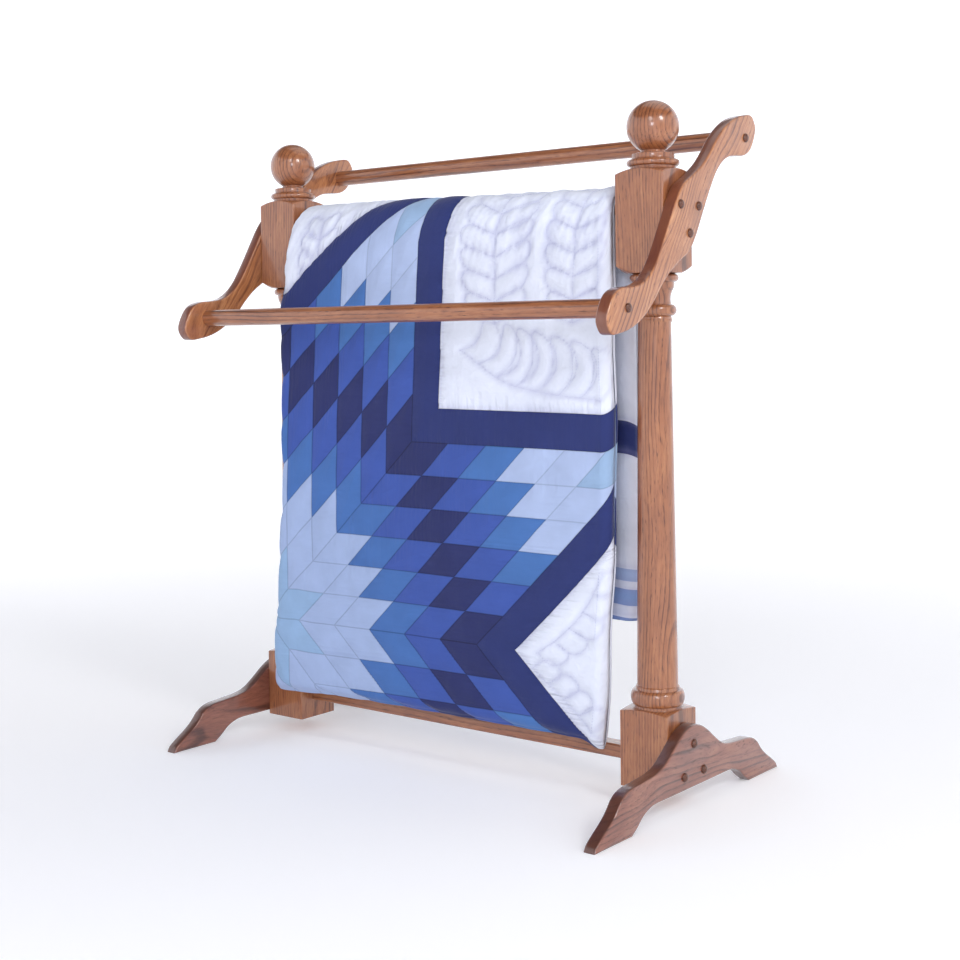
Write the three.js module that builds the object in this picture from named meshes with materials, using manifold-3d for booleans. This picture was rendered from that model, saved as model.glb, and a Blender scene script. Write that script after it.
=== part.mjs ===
// A free-standing oak quilt rack with a folded patchwork quilt hung over its top rail.
// Millimetres, +Z up, origin on the floor midway between the posts, X along the rods, front at -Y.
import * as THREE from "three";
import { mergeVertices } from "three/addons/utils/BufferGeometryUtils.js";
import Module from "manifold-3d";

const wasm = await Module();
wasm.setup();

// ---- Driving dimensions -------------------------------------------------------------------------
const GAP = 0.3; // left between faces that touch
const POST_SPACING = 693; // centre to centre of the two posts
const BLANK = 76; // side of the square turning blank, the width of the blocks
const BOARD = 19; // thickness of the arms and feet
const EDGE_ROUND = 3; // rounding along the edges of the boards

const FLOOR_CLEARANCE = 23; // the posts end above the floor, carried by the feet
const BOTTOM_BLOCK = 104; // length of the square block at the foot of a post
const LOWER_TURNING = 34; // from the bottom block up to the shaft
const SHAFT = 497.9; // the tapered shaft
const UPPER_TURNING = 77.4; // from the shaft up to the top block's corners
const TOP_BLOCK = 124; // length of the square block that carries the arms
const COLLAR_TURNING = 33; // from the top block's corners up to the ball
const BALL_RADIUS = 36;
const NECK_RADIUS = 16.5; // where the ball meets the collar

const ROD_RADIUS = 12.7; // all the dowels
const ROD_SOCKET = 8; // how far a rod is let into an arm
const RAIL_SOCKET = 25; // how far the quilt rail is let into a block
const QUILT_RAIL_BELOW_TOP = 38; // the rail's axis, below the top block's corners
const ROD_REACH = 154; // a rod's axis, before or behind the posts
const ROD_RISE = 121; // a rod's axis, above or below the arm's centre

const STRETCHER_DEPTH = 25;
const STRETCHER_HEIGHT = 19;
const STRETCHER_BELOW_TOP = 66; // the stretcher's axis, below the bottom block's corners
const STRETCHER_MORTISE = 12;
const STRETCHER_ROUND = 2;

const ARM_SET_FORWARD = 8; // the arm's outline sits a little forward of its rods' midpoint

const PLUG_STEM_RADIUS = 4.75;
const PLUG_STEM = 4;
const PLUG_HEAD_RADIUS = 6.35;
const PLUG_DOME = 4;
const SCREW_HEAD_RADIUS = 4.15;
const SCREW_HEAD = 2.6;
const SCREW_SHANK_RADIUS = 2.1;
const SCREW_LENGTH = 35;
const SCREW_POINT = 5;

const QUILT_SIDE_CLEARANCE = 6; // between the quilt and each block
const QUILT_FACE_CLEARANCE = 3; // between a block's front face and the fold that passes before it
const QUILT_OVER_RAIL = 23; // all its folded layers, pressed together over the rail
const QUILT_THICKNESS = 32; // the same layers where they hang free, at the right
const QUILT_FOLD_OVERHANG = 27; // how far the left fold reaches across the block, low down
const QUILT_ARC_SHARE = 0.25; // the share of the quilt's stations that lie over the rail
const QUILT_FRONT_HEM = 78; // above the floor
const QUILT_BACK_HEM = 240; // above the floor
const QUILT_DRAWN_IN = 21; // how far the front's free edge draws in at its hem
const QUILT_BULK = 25; // how far the thick fold at the left stands out beyond the rest, in front
const QUILT_BULK_REACH = 150; // how far from the fold that bulk dies away
const QUILT_BULK_DROP = 67; // how much lower the bulky fold's shoulder lies
const QUILT_SHOULDER = 60; // how far below the ridge the quilt hangs straight
const QUILT_FRONT_TAPER = 12; // how much thicker the front is at its left
const QUILT_BACK_TAPER = 16; // how much thicker the back is at its left
const QUILT_PRESSED = 17; // this much of the fold passes before the block
const QUILT_PRESSED_REACH = 40; // how far from the block the inner face comes back to the rail
const QUILT_LEAVES_RAIL = 50; // how far below the rail the inner face starts to follow the block
const QUILT_STATION_SPREAD = 1.7; // over 1, so that stations lie closer together at the bulky fold

// ---- Places worked out from them ----------------------------------------------------------------
const HALF_BLANK = BLANK / 2;
const POST_X = POST_SPACING / 2;
const BLOCK_INNER_X = POST_X - HALF_BLANK;
const BOARD_INNER_X = POST_X + HALF_BLANK + GAP;
const BOARD_OUTER_X = BOARD_INNER_X + BOARD;
const COUNTERBORE = PLUG_STEM + SCREW_HEAD + 3 * GAP;

const BOTTOM_BLOCK_TOP = FLOOR_CLEARANCE + BOTTOM_BLOCK;
const SHAFT_BOTTOM = BOTTOM_BLOCK_TOP + LOWER_TURNING;
const SHAFT_TOP = SHAFT_BOTTOM + SHAFT;
const TOP_BLOCK_BOTTOM = SHAFT_TOP + UPPER_TURNING;
const TOP_BLOCK_TOP = TOP_BLOCK_BOTTOM + TOP_BLOCK;
const BALL_START = TOP_BLOCK_TOP + COLLAR_TURNING;
const BALL_CENTRE = BALL_START + Math.sqrt(BALL_RADIUS ** 2 - NECK_RADIUS ** 2);
const ARM_CENTRE = (TOP_BLOCK_BOTTOM + TOP_BLOCK_TOP) / 2;
const QUILT_RAIL_Z = TOP_BLOCK_TOP - QUILT_RAIL_BELOW_TOP;
const STRETCHER_Z = BOTTOM_BLOCK_TOP - STRETCHER_BELOW_TOP;
const QUILT_HALF_WIDTH = BLOCK_INNER_X - QUILT_SIDE_CLEARANCE;
const QUILT_RIGHT_END = QUILT_HALF_WIDTH - 3;

const ARM_SCREWS = [
  [-23.5, ARM_CENTRE + 17.5],
  [23.5, ARM_CENTRE + 17.5],
  [0, ARM_CENTRE - 20],
];
const FOOT_SCREWS = [
  [-25.5, 46.5],
  [25.5, 46.5],
  [0, 87.5],
];
const ROD_ENDS = {
  front: [-ROD_REACH, ARM_CENTRE - ROD_RISE],
  back: [ROD_REACH, ARM_CENTRE + ROD_RISE],
};

const SIDES = { left: -1, right: 1 };
const TURNED_SIDES = 24; // facets round a post
const ROUND_SIDES = 18; // facets round a dowel, socket or hole
const SMALL_SIDES = 8; // facets round a screw or plug

// ---- Finishes -----------------------------------------------------------------------------------
const oak = () => new THREE.MeshStandardMaterial({ color: 0x9c6442, roughness: 0.35, metalness: 0 });
const plugOak = () => new THREE.MeshStandardMaterial({ color: 0x4c2a1c, roughness: 0.3, metalness: 0 });
const steel = () => new THREE.MeshStandardMaterial({ color: 0xb9bcc0, roughness: 0.35, metalness: 1 });
const cotton = () => new THREE.MeshStandardMaterial({ color: 0x5872b4, roughness: 0.9, metalness: 0 });

// ---- Joining and cutting ------------------------------------------------------------------------
// A closed geometry as a manifold solid: only positions are kept, so shared corners merge.
function toSolid(geometry) {
  const bare = new THREE.BufferGeometry();
  const flat = geometry.index ? geometry.toNonIndexed() : geometry;
  bare.setAttribute("position", flat.getAttribute("position").clone());
  const merged = mergeVertices(bare, 1e-3);
  return new wasm.Manifold(
    new wasm.Mesh({
      numProp: 3,
      vertProperties: merged.attributes.position.array,
      triVerts: new Uint32Array(merged.index.array),
    }),
  );
}

// A manifold solid as a three.js geometry with flat facets.
function toGeometry(solid) {
  const mesh = solid.getMesh();
  const indexed = new THREE.BufferGeometry();
  indexed.setAttribute("position", new THREE.BufferAttribute(mesh.vertProperties, 3));
  indexed.setIndex(new THREE.BufferAttribute(mesh.triVerts, 1));
  const geometry = indexed.toNonIndexed();
  geometry.computeVertexNormals();
  return geometry;
}

// A geometry with holes and sockets taken out of it.
function cut(geometry, cutters) {
  let solid = toSolid(geometry);
  for (const cutter of cutters) {
    solid = solid.subtract(toSolid(cutter));
  }
  return toGeometry(solid);
}

// ---- Basic shapes -------------------------------------------------------------------------------
// A round bar along X from one X to another, its axis at (y, z).
function barAlongX(radius, xFrom, xTo, [y, z], sides = ROUND_SIDES) {
  const bar = new THREE.CylinderGeometry(radius, radius, Math.abs(xTo - xFrom), sides);
  bar.rotateZ(Math.PI / 2);
  bar.translate((xFrom + xTo) / 2, y, z);
  return bar;
}

// A turned profile of [radius, distance] pairs, laid along X from a face, pointing inwards.
function turnedInwards(profile, side, faceX, [y, z]) {
  const points = profile.map(([radius, distance]) => new THREE.Vector2(radius, distance));
  const turned = new THREE.LatheGeometry(points, SMALL_SIDES);
  turned.rotateZ((side * Math.PI) / 2);
  turned.translate(side * faceX, y, z);
  return turned;
}

// A shape drawn in (Y, Z), given a thickness along X from a starting X.
function extrudeAlongX(shape, xFrom, options) {
  const geometry = new THREE.ExtrudeGeometry(shape, options);
  const toYZ = new THREE.Matrix4().makeBasis(
    new THREE.Vector3(0, 1, 0),
    new THREE.Vector3(0, 0, 1),
    new THREE.Vector3(1, 0, 0),
  );
  geometry.applyMatrix4(toYZ);
  geometry.translate(xFrom, 0, 0);
  return geometry;
}

// A board with rounded edges, from its outline, on the outer side of a post's block.
function board(outline, side) {
  const rounded = extrudeAlongX(new THREE.Shape(outline), EDGE_ROUND, {
    depth: BOARD - 2 * EDGE_ROUND,
    bevelThickness: EDGE_ROUND,
    bevelSize: EDGE_ROUND,
    bevelOffset: -EDGE_ROUND,
    bevelSegments: 2,
  });
  rounded.translate(side > 0 ? BOARD_INNER_X : -BOARD_OUTER_X, 0, 0);
  return rounded;
}

// The stepped hole for a screw and its plug through a board: a counterbore, then the shank's hole.
function screwHole(side, place) {
  return [
    barAlongX(PLUG_STEM_RADIUS + GAP, side * (BOARD_OUTER_X + 1), side * (BOARD_OUTER_X - COUNTERBORE), place),
    barAlongX(SCREW_SHANK_RADIUS + GAP, side * BOARD_OUTER_X, side * (BOARD_INNER_X - 1), place, SMALL_SIDES),
  ];
}

// The hole that a screw's shank needs in the piece behind the board.
function pilotHole(side, fromX, place) {
  const tipX = BOARD_OUTER_X - COUNTERBORE - SCREW_LENGTH - 1;
  return barAlongX(SCREW_SHANK_RADIUS + GAP, side * (fromX + 1), side * tipX, place, SMALL_SIDES);
}

// ---- Posts --------------------------------------------------------------------------------------
// A half-round bead between two heights, on a base radius, as [radius, height] pairs.
function bead(bottom, top, base, crest, steps = 4) {
  return Array.from({ length: steps + 1 }, (_, i) => {
    const angle = (Math.PI * i) / steps;
    const height = (bottom + top) / 2 - ((top - bottom) / 2) * Math.cos(angle);
    return [base + (crest - base) * Math.sin(angle), height];
  });
}

// The post's turning, bottom to top. Radii are depths of cut below the blank's faces.
function postProfile() {
  const depth = (cutDepth) => HALF_BLANK - cutDepth;
  const square = HALF_BLANK * Math.SQRT2; // the radius of the blank's corners
  const ballFrom = Math.asin(NECK_RADIUS / BALL_RADIUS);
  const ball = Array.from({ length: 9 }, (_, i) => {
    const angle = Math.PI - ballFrom - ((Math.PI - ballFrom) * i) / 8;
    return [BALL_RADIUS * Math.sin(angle), BALL_CENTRE + BALL_RADIUS * Math.cos(angle)];
  });
  ball[ball.length - 1][0] = 0;
  const low = BOTTOM_BLOCK_TOP;
  const high = TOP_BLOCK_BOTTOM;
  const crown = TOP_BLOCK_TOP;
  return [
    [0, FLOOR_CLEARANCE],
    [square + 2, FLOOR_CLEARANCE],
    [square + 2, low - 0.4],
    [square, low],
    [depth(0), low + 3.5],
    [depth(5.5), low + 4],
    ...bead(low + 7.3, low + 28, depth(5.5), depth(0.8), 6),
    [depth(7.8), low + 29],
    [depth(7.8), low + 32],
    [depth(9.6), SHAFT_BOTTOM],
    [depth(11.3), SHAFT_BOTTOM + 0.235 * SHAFT],
    [depth(15.2), SHAFT_TOP],
    [depth(14), SHAFT_TOP + 2],
    [depth(14), SHAFT_TOP + 6],
    ...bead(SHAFT_TOP + 9, SHAFT_TOP + 25, depth(15), depth(7.7), 5),
    [depth(15.5), SHAFT_TOP + 34],
    [depth(13.5), high - 35],
    [depth(11.3), high - 30],
    [depth(10.3), high - 24],
    ...bead(high - 22, high - 11, depth(10.6), depth(4.7), 4),
    [depth(0), high - 10],
    [depth(-7), high - 6],
    [square, high],
    [square + 2, high + 2],
    [square + 2, crown - 2],
    [square, crown],
    [depth(-7), crown + 4],
    [depth(0), crown + 6.5],
    [depth(7), crown + 7.5],
    [depth(6.5), crown + 10.3],
    ...bead(crown + 10.8, crown + 20.5, depth(6.5), depth(1.9), 4),
    [depth(9), crown + 22.4],
    [depth(9), crown + 28],
    [NECK_RADIUS + 1, crown + 29.5],
    ...ball,
  ];
}

// One post, turned from a square blank in one piece with its blocks and ball.
function post(side) {
  const profile = postProfile().map(([radius, height]) => new THREE.Vector2(radius, height));
  const turning = new THREE.LatheGeometry(profile, TURNED_SIDES);
  turning.rotateX(Math.PI / 2);
  const top = BALL_CENTRE + BALL_RADIUS;
  const blank = new THREE.BoxGeometry(BLANK, BLANK, top + 1 - FLOOR_CLEARANCE);
  blank.translate(0, 0, (top + 1 + FLOOR_CLEARANCE) / 2);
  const turned = toGeometry(toSolid(turning).intersect(toSolid(blank)));
  turned.translate(side * POST_X, 0, 0);

  const railEnd = side * (BLOCK_INNER_X + RAIL_SOCKET);
  const mortise = stretcherBar(side * (BLOCK_INNER_X - 1), side * (BLOCK_INNER_X + STRETCHER_MORTISE), GAP);
  const cutters = [
    barAlongX(ROD_RADIUS + GAP, side * (BLOCK_INNER_X - 1), railEnd, [0, QUILT_RAIL_Z]),
    mortise,
    ...[...ARM_SCREWS, ...FOOT_SCREWS].map((place) => pilotHole(side, POST_X + HALF_BLANK, place)),
  ];
  return cut(turned, cutters);
}

// ---- Arms and feet ------------------------------------------------------------------------------
// Half of an arm's outline, from its front lobe round under to its back lobe, about its own centre.
const ARM_HALF = [
  [-191, -146],
  [-181, -155],
  [-160, -153],
  [-139, -148],
  [-118, -139],
  [-98, -126],
  [-80, -110],
  [-64, -93],
  [-45, -76],
  [-18, -59],
  [7, -45],
  [24, -25],
  [39, 0],
  [53, 24],
  [66, 45],
  [80, 65],
  [96, 80],
  [115, 90],
  [138, 94],
  [160, 96],
  [177, 104],
  [188, 119],
  [194, 135],
];

// An arm's whole outline: the half, and the same half turned half a circle.
function armOutline() {
  const centre = new THREE.Vector2(-ARM_SET_FORWARD, ARM_CENTRE);
  const half = ARM_HALF.map(([y, z]) => new THREE.Vector2(y, z));
  return [...half.map((p) => p.clone().add(centre)), ...half.map((p) => centre.clone().sub(p))];
}

// One arm, with the sockets of both rods and the holes of its screws and plugs.
function arm(side) {
  const rodEnds = Object.values(ROD_ENDS);
  const socketX = BOARD_INNER_X + ROD_SOCKET + GAP;
  return cut(board(armOutline(), side), [
    ...rodEnds.map((place) => barAlongX(ROD_RADIUS + GAP, side * (BOARD_INNER_X - 1), side * socketX, place)),
    ...[...rodEnds, ...ARM_SCREWS].flatMap((place) => screwHole(side, place)),
  ]);
}

// Half of a foot's outline, from the middle of its arch out round the pad and up to its peak.
const FOOT_HALF = [
  [0, 28],
  [96, 28],
  [112, 25.5],
  [128, 19],
  [141, 9],
  [155, 0],
  [240, 0],
  [236, 8],
  [222, 18],
  [206, 28],
  [193, 38],
  [181, 51],
  [170, 58],
  [155, 62],
  [128, 64],
  [97, 67],
  [77, 73],
  [58, 85],
  [40, 98],
  [23, 107.5],
  [8, 112],
];

// One foot board, the same before and behind the post.
function foot(side) {
  const back = FOOT_HALF.map(([y, z]) => new THREE.Vector2(y, z));
  const front = FOOT_HALF.slice(1).reverse().map(([y, z]) => new THREE.Vector2(-y, z));
  return cut(board([...back, ...front], side), FOOT_SCREWS.flatMap((place) => screwHole(side, place)));
}

// ---- Rods and rails -----------------------------------------------------------------------------
// A rod between the two arms, let into their inner faces and drilled for a screw at each end.
function rod(place) {
  const end = BOARD_INNER_X + ROD_SOCKET;
  return cut(
    barAlongX(ROD_RADIUS, -end, end, place),
    Object.values(SIDES).map((side) => pilotHole(side, end, place)),
  );
}

// The rail that carries the quilt, let into both top blocks.
function quiltRail() {
  const end = BLOCK_INNER_X + RAIL_SOCKET - GAP;
  return barAlongX(ROD_RADIUS, -end, end, [0, QUILT_RAIL_Z]);
}

// A bar of the stretcher's section between two X, grown all round by an allowance.
function stretcherBar(xFrom, xTo, allowance = 0) {
  const halfDepth = STRETCHER_DEPTH / 2 + allowance;
  const halfHeight = STRETCHER_HEIGHT / 2 + allowance;
  const r = STRETCHER_ROUND + allowance;
  const corners = [[-1, -1], [1, -1], [1, 1], [-1, 1]];
  const section = new THREE.Shape();
  corners.forEach(([cy, cz], i) => {
    const from = Math.PI + (i * Math.PI) / 2;
    const y = cy * (halfDepth - r);
    section.absarc(y, STRETCHER_Z + cz * (halfHeight - r), r, from, from + Math.PI / 2);
  });
  const start = Math.min(xFrom, xTo);
  return extrudeAlongX(section, start, { depth: Math.abs(xTo - xFrom), bevelEnabled: false, curveSegments: 2 });
}

// The rail low down between the posts.
function stretcher() {
  const end = BLOCK_INNER_X + STRETCHER_MORTISE - GAP;
  return stretcherBar(-end, end);
}

// ---- Screws and plugs ---------------------------------------------------------------------------
// A wood screw in its counterbore, its point inwards.
function screw(side, place) {
  const under = SCREW_HEAD;
  const point = SCREW_HEAD + SCREW_LENGTH;
  const profile = [
    [0, 0],
    [SCREW_HEAD_RADIUS, 0],
    [SCREW_HEAD_RADIUS, under],
    [SCREW_SHANK_RADIUS, under],
    [SCREW_SHANK_RADIUS, point - SCREW_POINT],
    [0, point],
  ];
  return turnedInwards(profile, side, BOARD_OUTER_X - COUNTERBORE + GAP + SCREW_HEAD, place);
}

// A button plug that closes a screw's counterbore, its dome outwards.
function plug(side, place) {
  const profile = [
    [0, -PLUG_DOME - GAP],
    [0.45 * PLUG_HEAD_RADIUS, -0.9 * PLUG_DOME - GAP],
    [0.8 * PLUG_HEAD_RADIUS, -0.6 * PLUG_DOME - GAP],
    [PLUG_HEAD_RADIUS, -0.15 * PLUG_DOME - GAP],
    [PLUG_HEAD_RADIUS, -GAP],
    [PLUG_STEM_RADIUS, -GAP],
    [PLUG_STEM_RADIUS, PLUG_STEM],
    [0, PLUG_STEM],
  ];
  return turnedInwards(profile, side, BOARD_OUTER_X, place);
}

// ---- Quilt --------------------------------------------------------------------------------------
// A value read off a chain of [place, value] pairs, in straight lines between them.
function readOff(chain, place) {
  const upTo = chain.findIndex(([at]) => place <= at);
  if (upTo <= 0) {
    return upTo < 0 ? chain[chain.length - 1][1] : chain[0][1];
  }
  const [from, to] = [chain[upTo - 1], chain[upTo]];
  return THREE.MathUtils.mapLinear(place, from[0], to[0], from[1], to[1]);
}

// How far left the front half reaches: beside the block high up, and out past its front low down.
const QUILT_LEFT = [
  [BOTTOM_BLOCK_TOP + 53, -(BLOCK_INNER_X + QUILT_FOLD_OVERHANG)],
  [SHAFT_TOP - 160, -(BLOCK_INNER_X + QUILT_FACE_CLEARANCE)],
  [TOP_BLOCK_BOTTOM - 25, -(BLOCK_INNER_X + QUILT_FACE_CLEARANCE)],
  [TOP_BLOCK_BOTTOM, -QUILT_HALF_WIDTH],
];

// How far right the front half reaches: it draws in towards its hem.
const QUILT_RIGHT = [
  [QUILT_FRONT_HEM, QUILT_RIGHT_END - QUILT_DRAWN_IN],
  [QUILT_FRONT_HEM + 200, QUILT_RIGHT_END - 0.43 * QUILT_DRAWN_IN],
  [QUILT_FRONT_HEM + 350, QUILT_RIGHT_END],
  [QUILT_RAIL_Z, QUILT_RIGHT_END],
];

// The front or back half's section at a place along the rail: faces, and the shoulder's drop.
function quiltSection(x, front) {
  const fromFold = Math.max(0, x + QUILT_HALF_WIDTH);
  const bulk = Math.exp(-fromFold / QUILT_BULK_REACH);
  const taper = (QUILT_HALF_WIDTH - x) / (2 * QUILT_HALF_WIDTH);
  const skin = ROD_RADIUS + GAP;
  if (!front) {
    const far = skin + QUILT_THICKNESS + QUILT_BACK_TAPER * taper;
    return { near: skin, far, shoulder: QUILT_SHOULDER };
  }
  const pressed = Math.exp(-Math.max(0, fromFold - QUILT_PRESSED) / QUILT_PRESSED_REACH);
  return {
    near: skin + (HALF_BLANK + QUILT_FACE_CLEARANCE - skin) * pressed,
    far: skin + QUILT_THICKNESS + QUILT_FRONT_TAPER * taper + QUILT_BULK * bulk,
    shoulder: QUILT_SHOULDER + QUILT_BULK_DROP * bulk,
  };
}

// A point of the hung quilt. Across runs 0 to 1 from its left end, along runs -1 to 1 from the
// front hem over the rail to the back one, and depth runs 0 to 1 from the rail's side outwards.
function hang(across, along, depth) {
  const front = along < 0;
  const drop = Math.abs(along);
  const hem = front ? QUILT_FRONT_HEM : QUILT_BACK_HEM;
  const turn = Math.min(1, drop / QUILT_ARC_SHARE) * (Math.PI / 2);
  const hung = Math.max(0, (drop - QUILT_ARC_SHARE) / (1 - QUILT_ARC_SHARE));
  const spread = across ** QUILT_STATION_SPREAD;
  const height = THREE.MathUtils.lerp(QUILT_RAIL_Z, hem, hung);
  const [left, right] = front
    ? [readOff(QUILT_LEFT, height), readOff(QUILT_RIGHT, height)]
    : [-QUILT_HALF_WIDTH, QUILT_RIGHT_END];
  const x = THREE.MathUtils.lerp(left, right, spread);
  const { near, far, shoulder } = quiltSection(x, front);
  const skin = ROD_RADIUS + GAP;
  const leaving = THREE.MathUtils.smoothstep(QUILT_RAIL_Z - height, 0, QUILT_LEAVES_RAIL);
  const ridge = QUILT_RAIL_Z + skin + QUILT_OVER_RAIL;
  const nearY = THREE.MathUtils.lerp(skin, near, leaving) * Math.sin(turn);
  const nearZ = hung > 0 ? height : QUILT_RAIL_Z + skin * Math.cos(turn);
  const farY = far * Math.sin(turn);
  const farZ = THREE.MathUtils.lerp(ridge - shoulder * (1 - Math.cos(turn)), hem, hung);
  const y = THREE.MathUtils.lerp(nearY, farY, depth) * (front ? -1 : 1);
  return new THREE.Vector3(x, y, THREE.MathUtils.lerp(nearZ, farZ, depth));
}

// The quilt as one plain closed solid: a box bent over the rail.
function quilt() {
  const bent = new THREE.BoxGeometry(1, 1, 1, 8, 32, 1);
  const place = bent.getAttribute("position");
  for (let i = 0; i < place.count; i++) {
    const point = hang(place.getX(i) + 0.5, 2 * place.getY(i), place.getZ(i) + 0.5);
    place.setXYZ(i, ...point);
  }
  return toGeometry(toSolid(bent));
}

// ---- Assembly -----------------------------------------------------------------------------------
const rack = new THREE.Group();

function add(name, geometry, material) {
  const mesh = new THREE.Mesh(geometry, material);
  mesh.name = name;
  rack.add(mesh);
}

function addFixing(name, side, place) {
  add(`${name}_screw`, screw(side, place), steel());
  add(`${name}_plug`, plug(side, place), plugOak());
}

for (const [name, side] of Object.entries(SIDES)) {
  add(`post_${name}`, post(side), oak());
  add(`arm_${name}`, arm(side), oak());
  add(`foot_${name}`, foot(side), oak());
  ARM_SCREWS.forEach((place, i) => addFixing(`arm_${name}_${i + 1}`, side, place));
  FOOT_SCREWS.forEach((place, i) => addFixing(`foot_${name}_${i + 1}`, side, place));
  for (const [end, place] of Object.entries(ROD_ENDS)) {
    addFixing(`rod_${name}_${end}`, side, place);
  }
}
add("front_rod", rod(ROD_ENDS.front), oak());
add("back_rod", rod(ROD_ENDS.back), oak());
add("quilt_rail", quiltRail(), oak());
add("stretcher", stretcher(), oak());
add("quilt", quilt(), cotton());

export default rack;
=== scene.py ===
"""Looks for a free-standing turned oak quilt rack with a folded star quilt hung over its rail.

Metres, +Z up, the front at -Y. Sizes in the classes below are millimetres, as a maker's drawing
gives them, and are turned to metres where a mesh is made.
"""

import logging
import math
from dataclasses import dataclass, field
from enum import Enum

import bpy
import numpy as np
from mathutils import Matrix, Vector, noise
from mathutils.kdtree import KDTree


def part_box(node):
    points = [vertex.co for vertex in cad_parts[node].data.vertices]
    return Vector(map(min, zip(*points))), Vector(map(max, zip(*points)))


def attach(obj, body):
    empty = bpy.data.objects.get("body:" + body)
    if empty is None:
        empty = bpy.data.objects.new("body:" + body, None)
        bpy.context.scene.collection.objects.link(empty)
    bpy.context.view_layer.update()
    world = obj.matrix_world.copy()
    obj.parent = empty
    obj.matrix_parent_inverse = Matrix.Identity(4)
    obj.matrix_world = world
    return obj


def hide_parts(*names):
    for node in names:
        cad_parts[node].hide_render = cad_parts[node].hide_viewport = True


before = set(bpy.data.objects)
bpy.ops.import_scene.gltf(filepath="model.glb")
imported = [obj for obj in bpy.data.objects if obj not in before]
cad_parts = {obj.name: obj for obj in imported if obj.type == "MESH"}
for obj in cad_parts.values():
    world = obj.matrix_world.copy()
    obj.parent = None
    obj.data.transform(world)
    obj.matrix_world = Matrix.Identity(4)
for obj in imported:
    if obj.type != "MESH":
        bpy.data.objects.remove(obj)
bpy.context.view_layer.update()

LOG = logging.getLogger("quilt_rack")
MM = 0.001
SIDES = {"left": -1, "right": 1}
Points = np.ndarray


# ---- Helpers ------------------------------------------------------------------------------------
def linear(hex_colour: str) -> tuple[float, float, float, float]:
    """Turns an sRGB hex colour into a linear one.

    Args:
        hex_colour: Six hex digits, with or without a leading hash.

    Returns:
        Red, green, blue and an alpha of 1.
    """
    digits = hex_colour.lstrip("#")
    shares = [int(digits[i : i + 2], 16) / 255 for i in (0, 2, 4)]
    parts = [c / 12.92 if c <= 0.04045 else ((c + 0.055) / 1.055) ** 2.4 for c in shares]
    return (*parts, 1.0)


def wire(node: bpy.types.Node, inputs: dict) -> None:
    """Links or sets a node's inputs.

    Args:
        node: The node.
        inputs: What goes into each input, by its name or index: a socket, a node whose first live
            output is meant, or a plain value.
    """
    for key, value in inputs.items():
        if isinstance(value, bpy.types.Node):
            value = next(output for output in value.outputs if output.enabled)
        if isinstance(value, bpy.types.NodeSocket):
            node.id_data.links.new(value, node.inputs[key])
        else:
            node.inputs[key].default_value = value


def add(
    tree: bpy.types.NodeTree, kind: str, inputs: dict | None = None, **settings: object
) -> bpy.types.Node:
    """Adds one node to a tree.

    Args:
        tree: The node tree.
        kind: The node's type name.
        inputs: Its inputs, as wire takes them.
        settings: The node's own properties.

    Returns:
        The new node.
    """
    node = tree.nodes.new(kind)
    for name, value in settings.items():
        setattr(node, name, value)
    wire(node, inputs or {})
    return node


def paint_ramp(ramp: bpy.types.Node, stops: list[tuple[float, tuple]], step: bool = False) -> None:
    """Sets a colour ramp's stops.

    Args:
        ramp: The Color Ramp node.
        stops: Places from 0 to 1, each with a linear colour.
        step: True for flat bands of colour, False for a smooth run.
    """
    band = ramp.color_ramp
    band.interpolation = "CONSTANT" if step else "LINEAR"
    while len(band.elements) < len(stops):
        band.elements.new(0.5)
    for element, (place, colour) in zip(band.elements, stops):
        element.position = place
        element.color = colour


def new_material(name: str) -> tuple[bpy.types.Material, bpy.types.NodeTree, bpy.types.Node]:
    """Makes a material with an empty tree, a Principled shader and an output.

    Args:
        name: The material's name.

    Returns:
        The material, its tree and its shader.
    """
    material = bpy.data.materials.new(name)
    material.use_nodes = True
    tree = material.node_tree
    tree.nodes.clear()
    shader = add(tree, "ShaderNodeBsdfPrincipled")
    add(tree, "ShaderNodeOutputMaterial", {"Surface": shader.outputs["BSDF"]})
    return material, tree, shader


def new_object(name: str, vertices: Points, faces: list, edges: list | None = None) -> bpy.types.Object:
    """Makes a mesh object from points in millimetres.

    Args:
        name: The object's name.
        vertices: One row of X, Y and Z for each vertex.
        faces: Vertex numbers of each face, counter-clockwise from outside.
        edges: Vertex numbers of loose edges, if any.

    Returns:
        The object, linked to the scene.
    """
    mesh = bpy.data.meshes.new(name)
    mesh.from_pydata((np.asarray(vertices) * MM).tolist(), edges or [], faces)
    mesh.update()
    piece = bpy.data.objects.new(name, mesh)
    bpy.context.scene.collection.objects.link(piece)
    return piece


def baked(piece: bpy.types.Object) -> bpy.types.Object:
    """Turns an object with live modifiers into a plain mesh object of the same name.

    Args:
        piece: The object to bake; it is removed.

    Returns:
        The plain object.
    """
    name = piece.name
    depsgraph = bpy.context.evaluated_depsgraph_get()
    mesh = bpy.data.meshes.new_from_object(piece.evaluated_get(depsgraph), depsgraph=depsgraph)
    bpy.data.objects.remove(piece)
    mesh.name = name
    plain = bpy.data.objects.new(name, mesh)
    bpy.context.scene.collection.objects.link(plain)
    return plain


def run_tree(
    piece: bpy.types.Object, tree: bpy.types.NodeTree, values: dict[str, object]
) -> bpy.types.Object:
    """Runs a Geometry Nodes tree on an object and keeps the result as a plain mesh.

    Args:
        piece: The object that carries the tree's input.
        tree: The Geometry Nodes tree.
        values: The tree's inputs by their names.

    Returns:
        The plain object.
    """
    modifier = piece.modifiers.new(tree.name, "NODES")
    modifier.node_group = tree
    sockets = {item.name: item.identifier for item in tree.interface.items_tree if item.item_type == "SOCKET"}
    for name, value in values.items():
        modifier[sockets[name]] = value
    return baked(piece)


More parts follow.
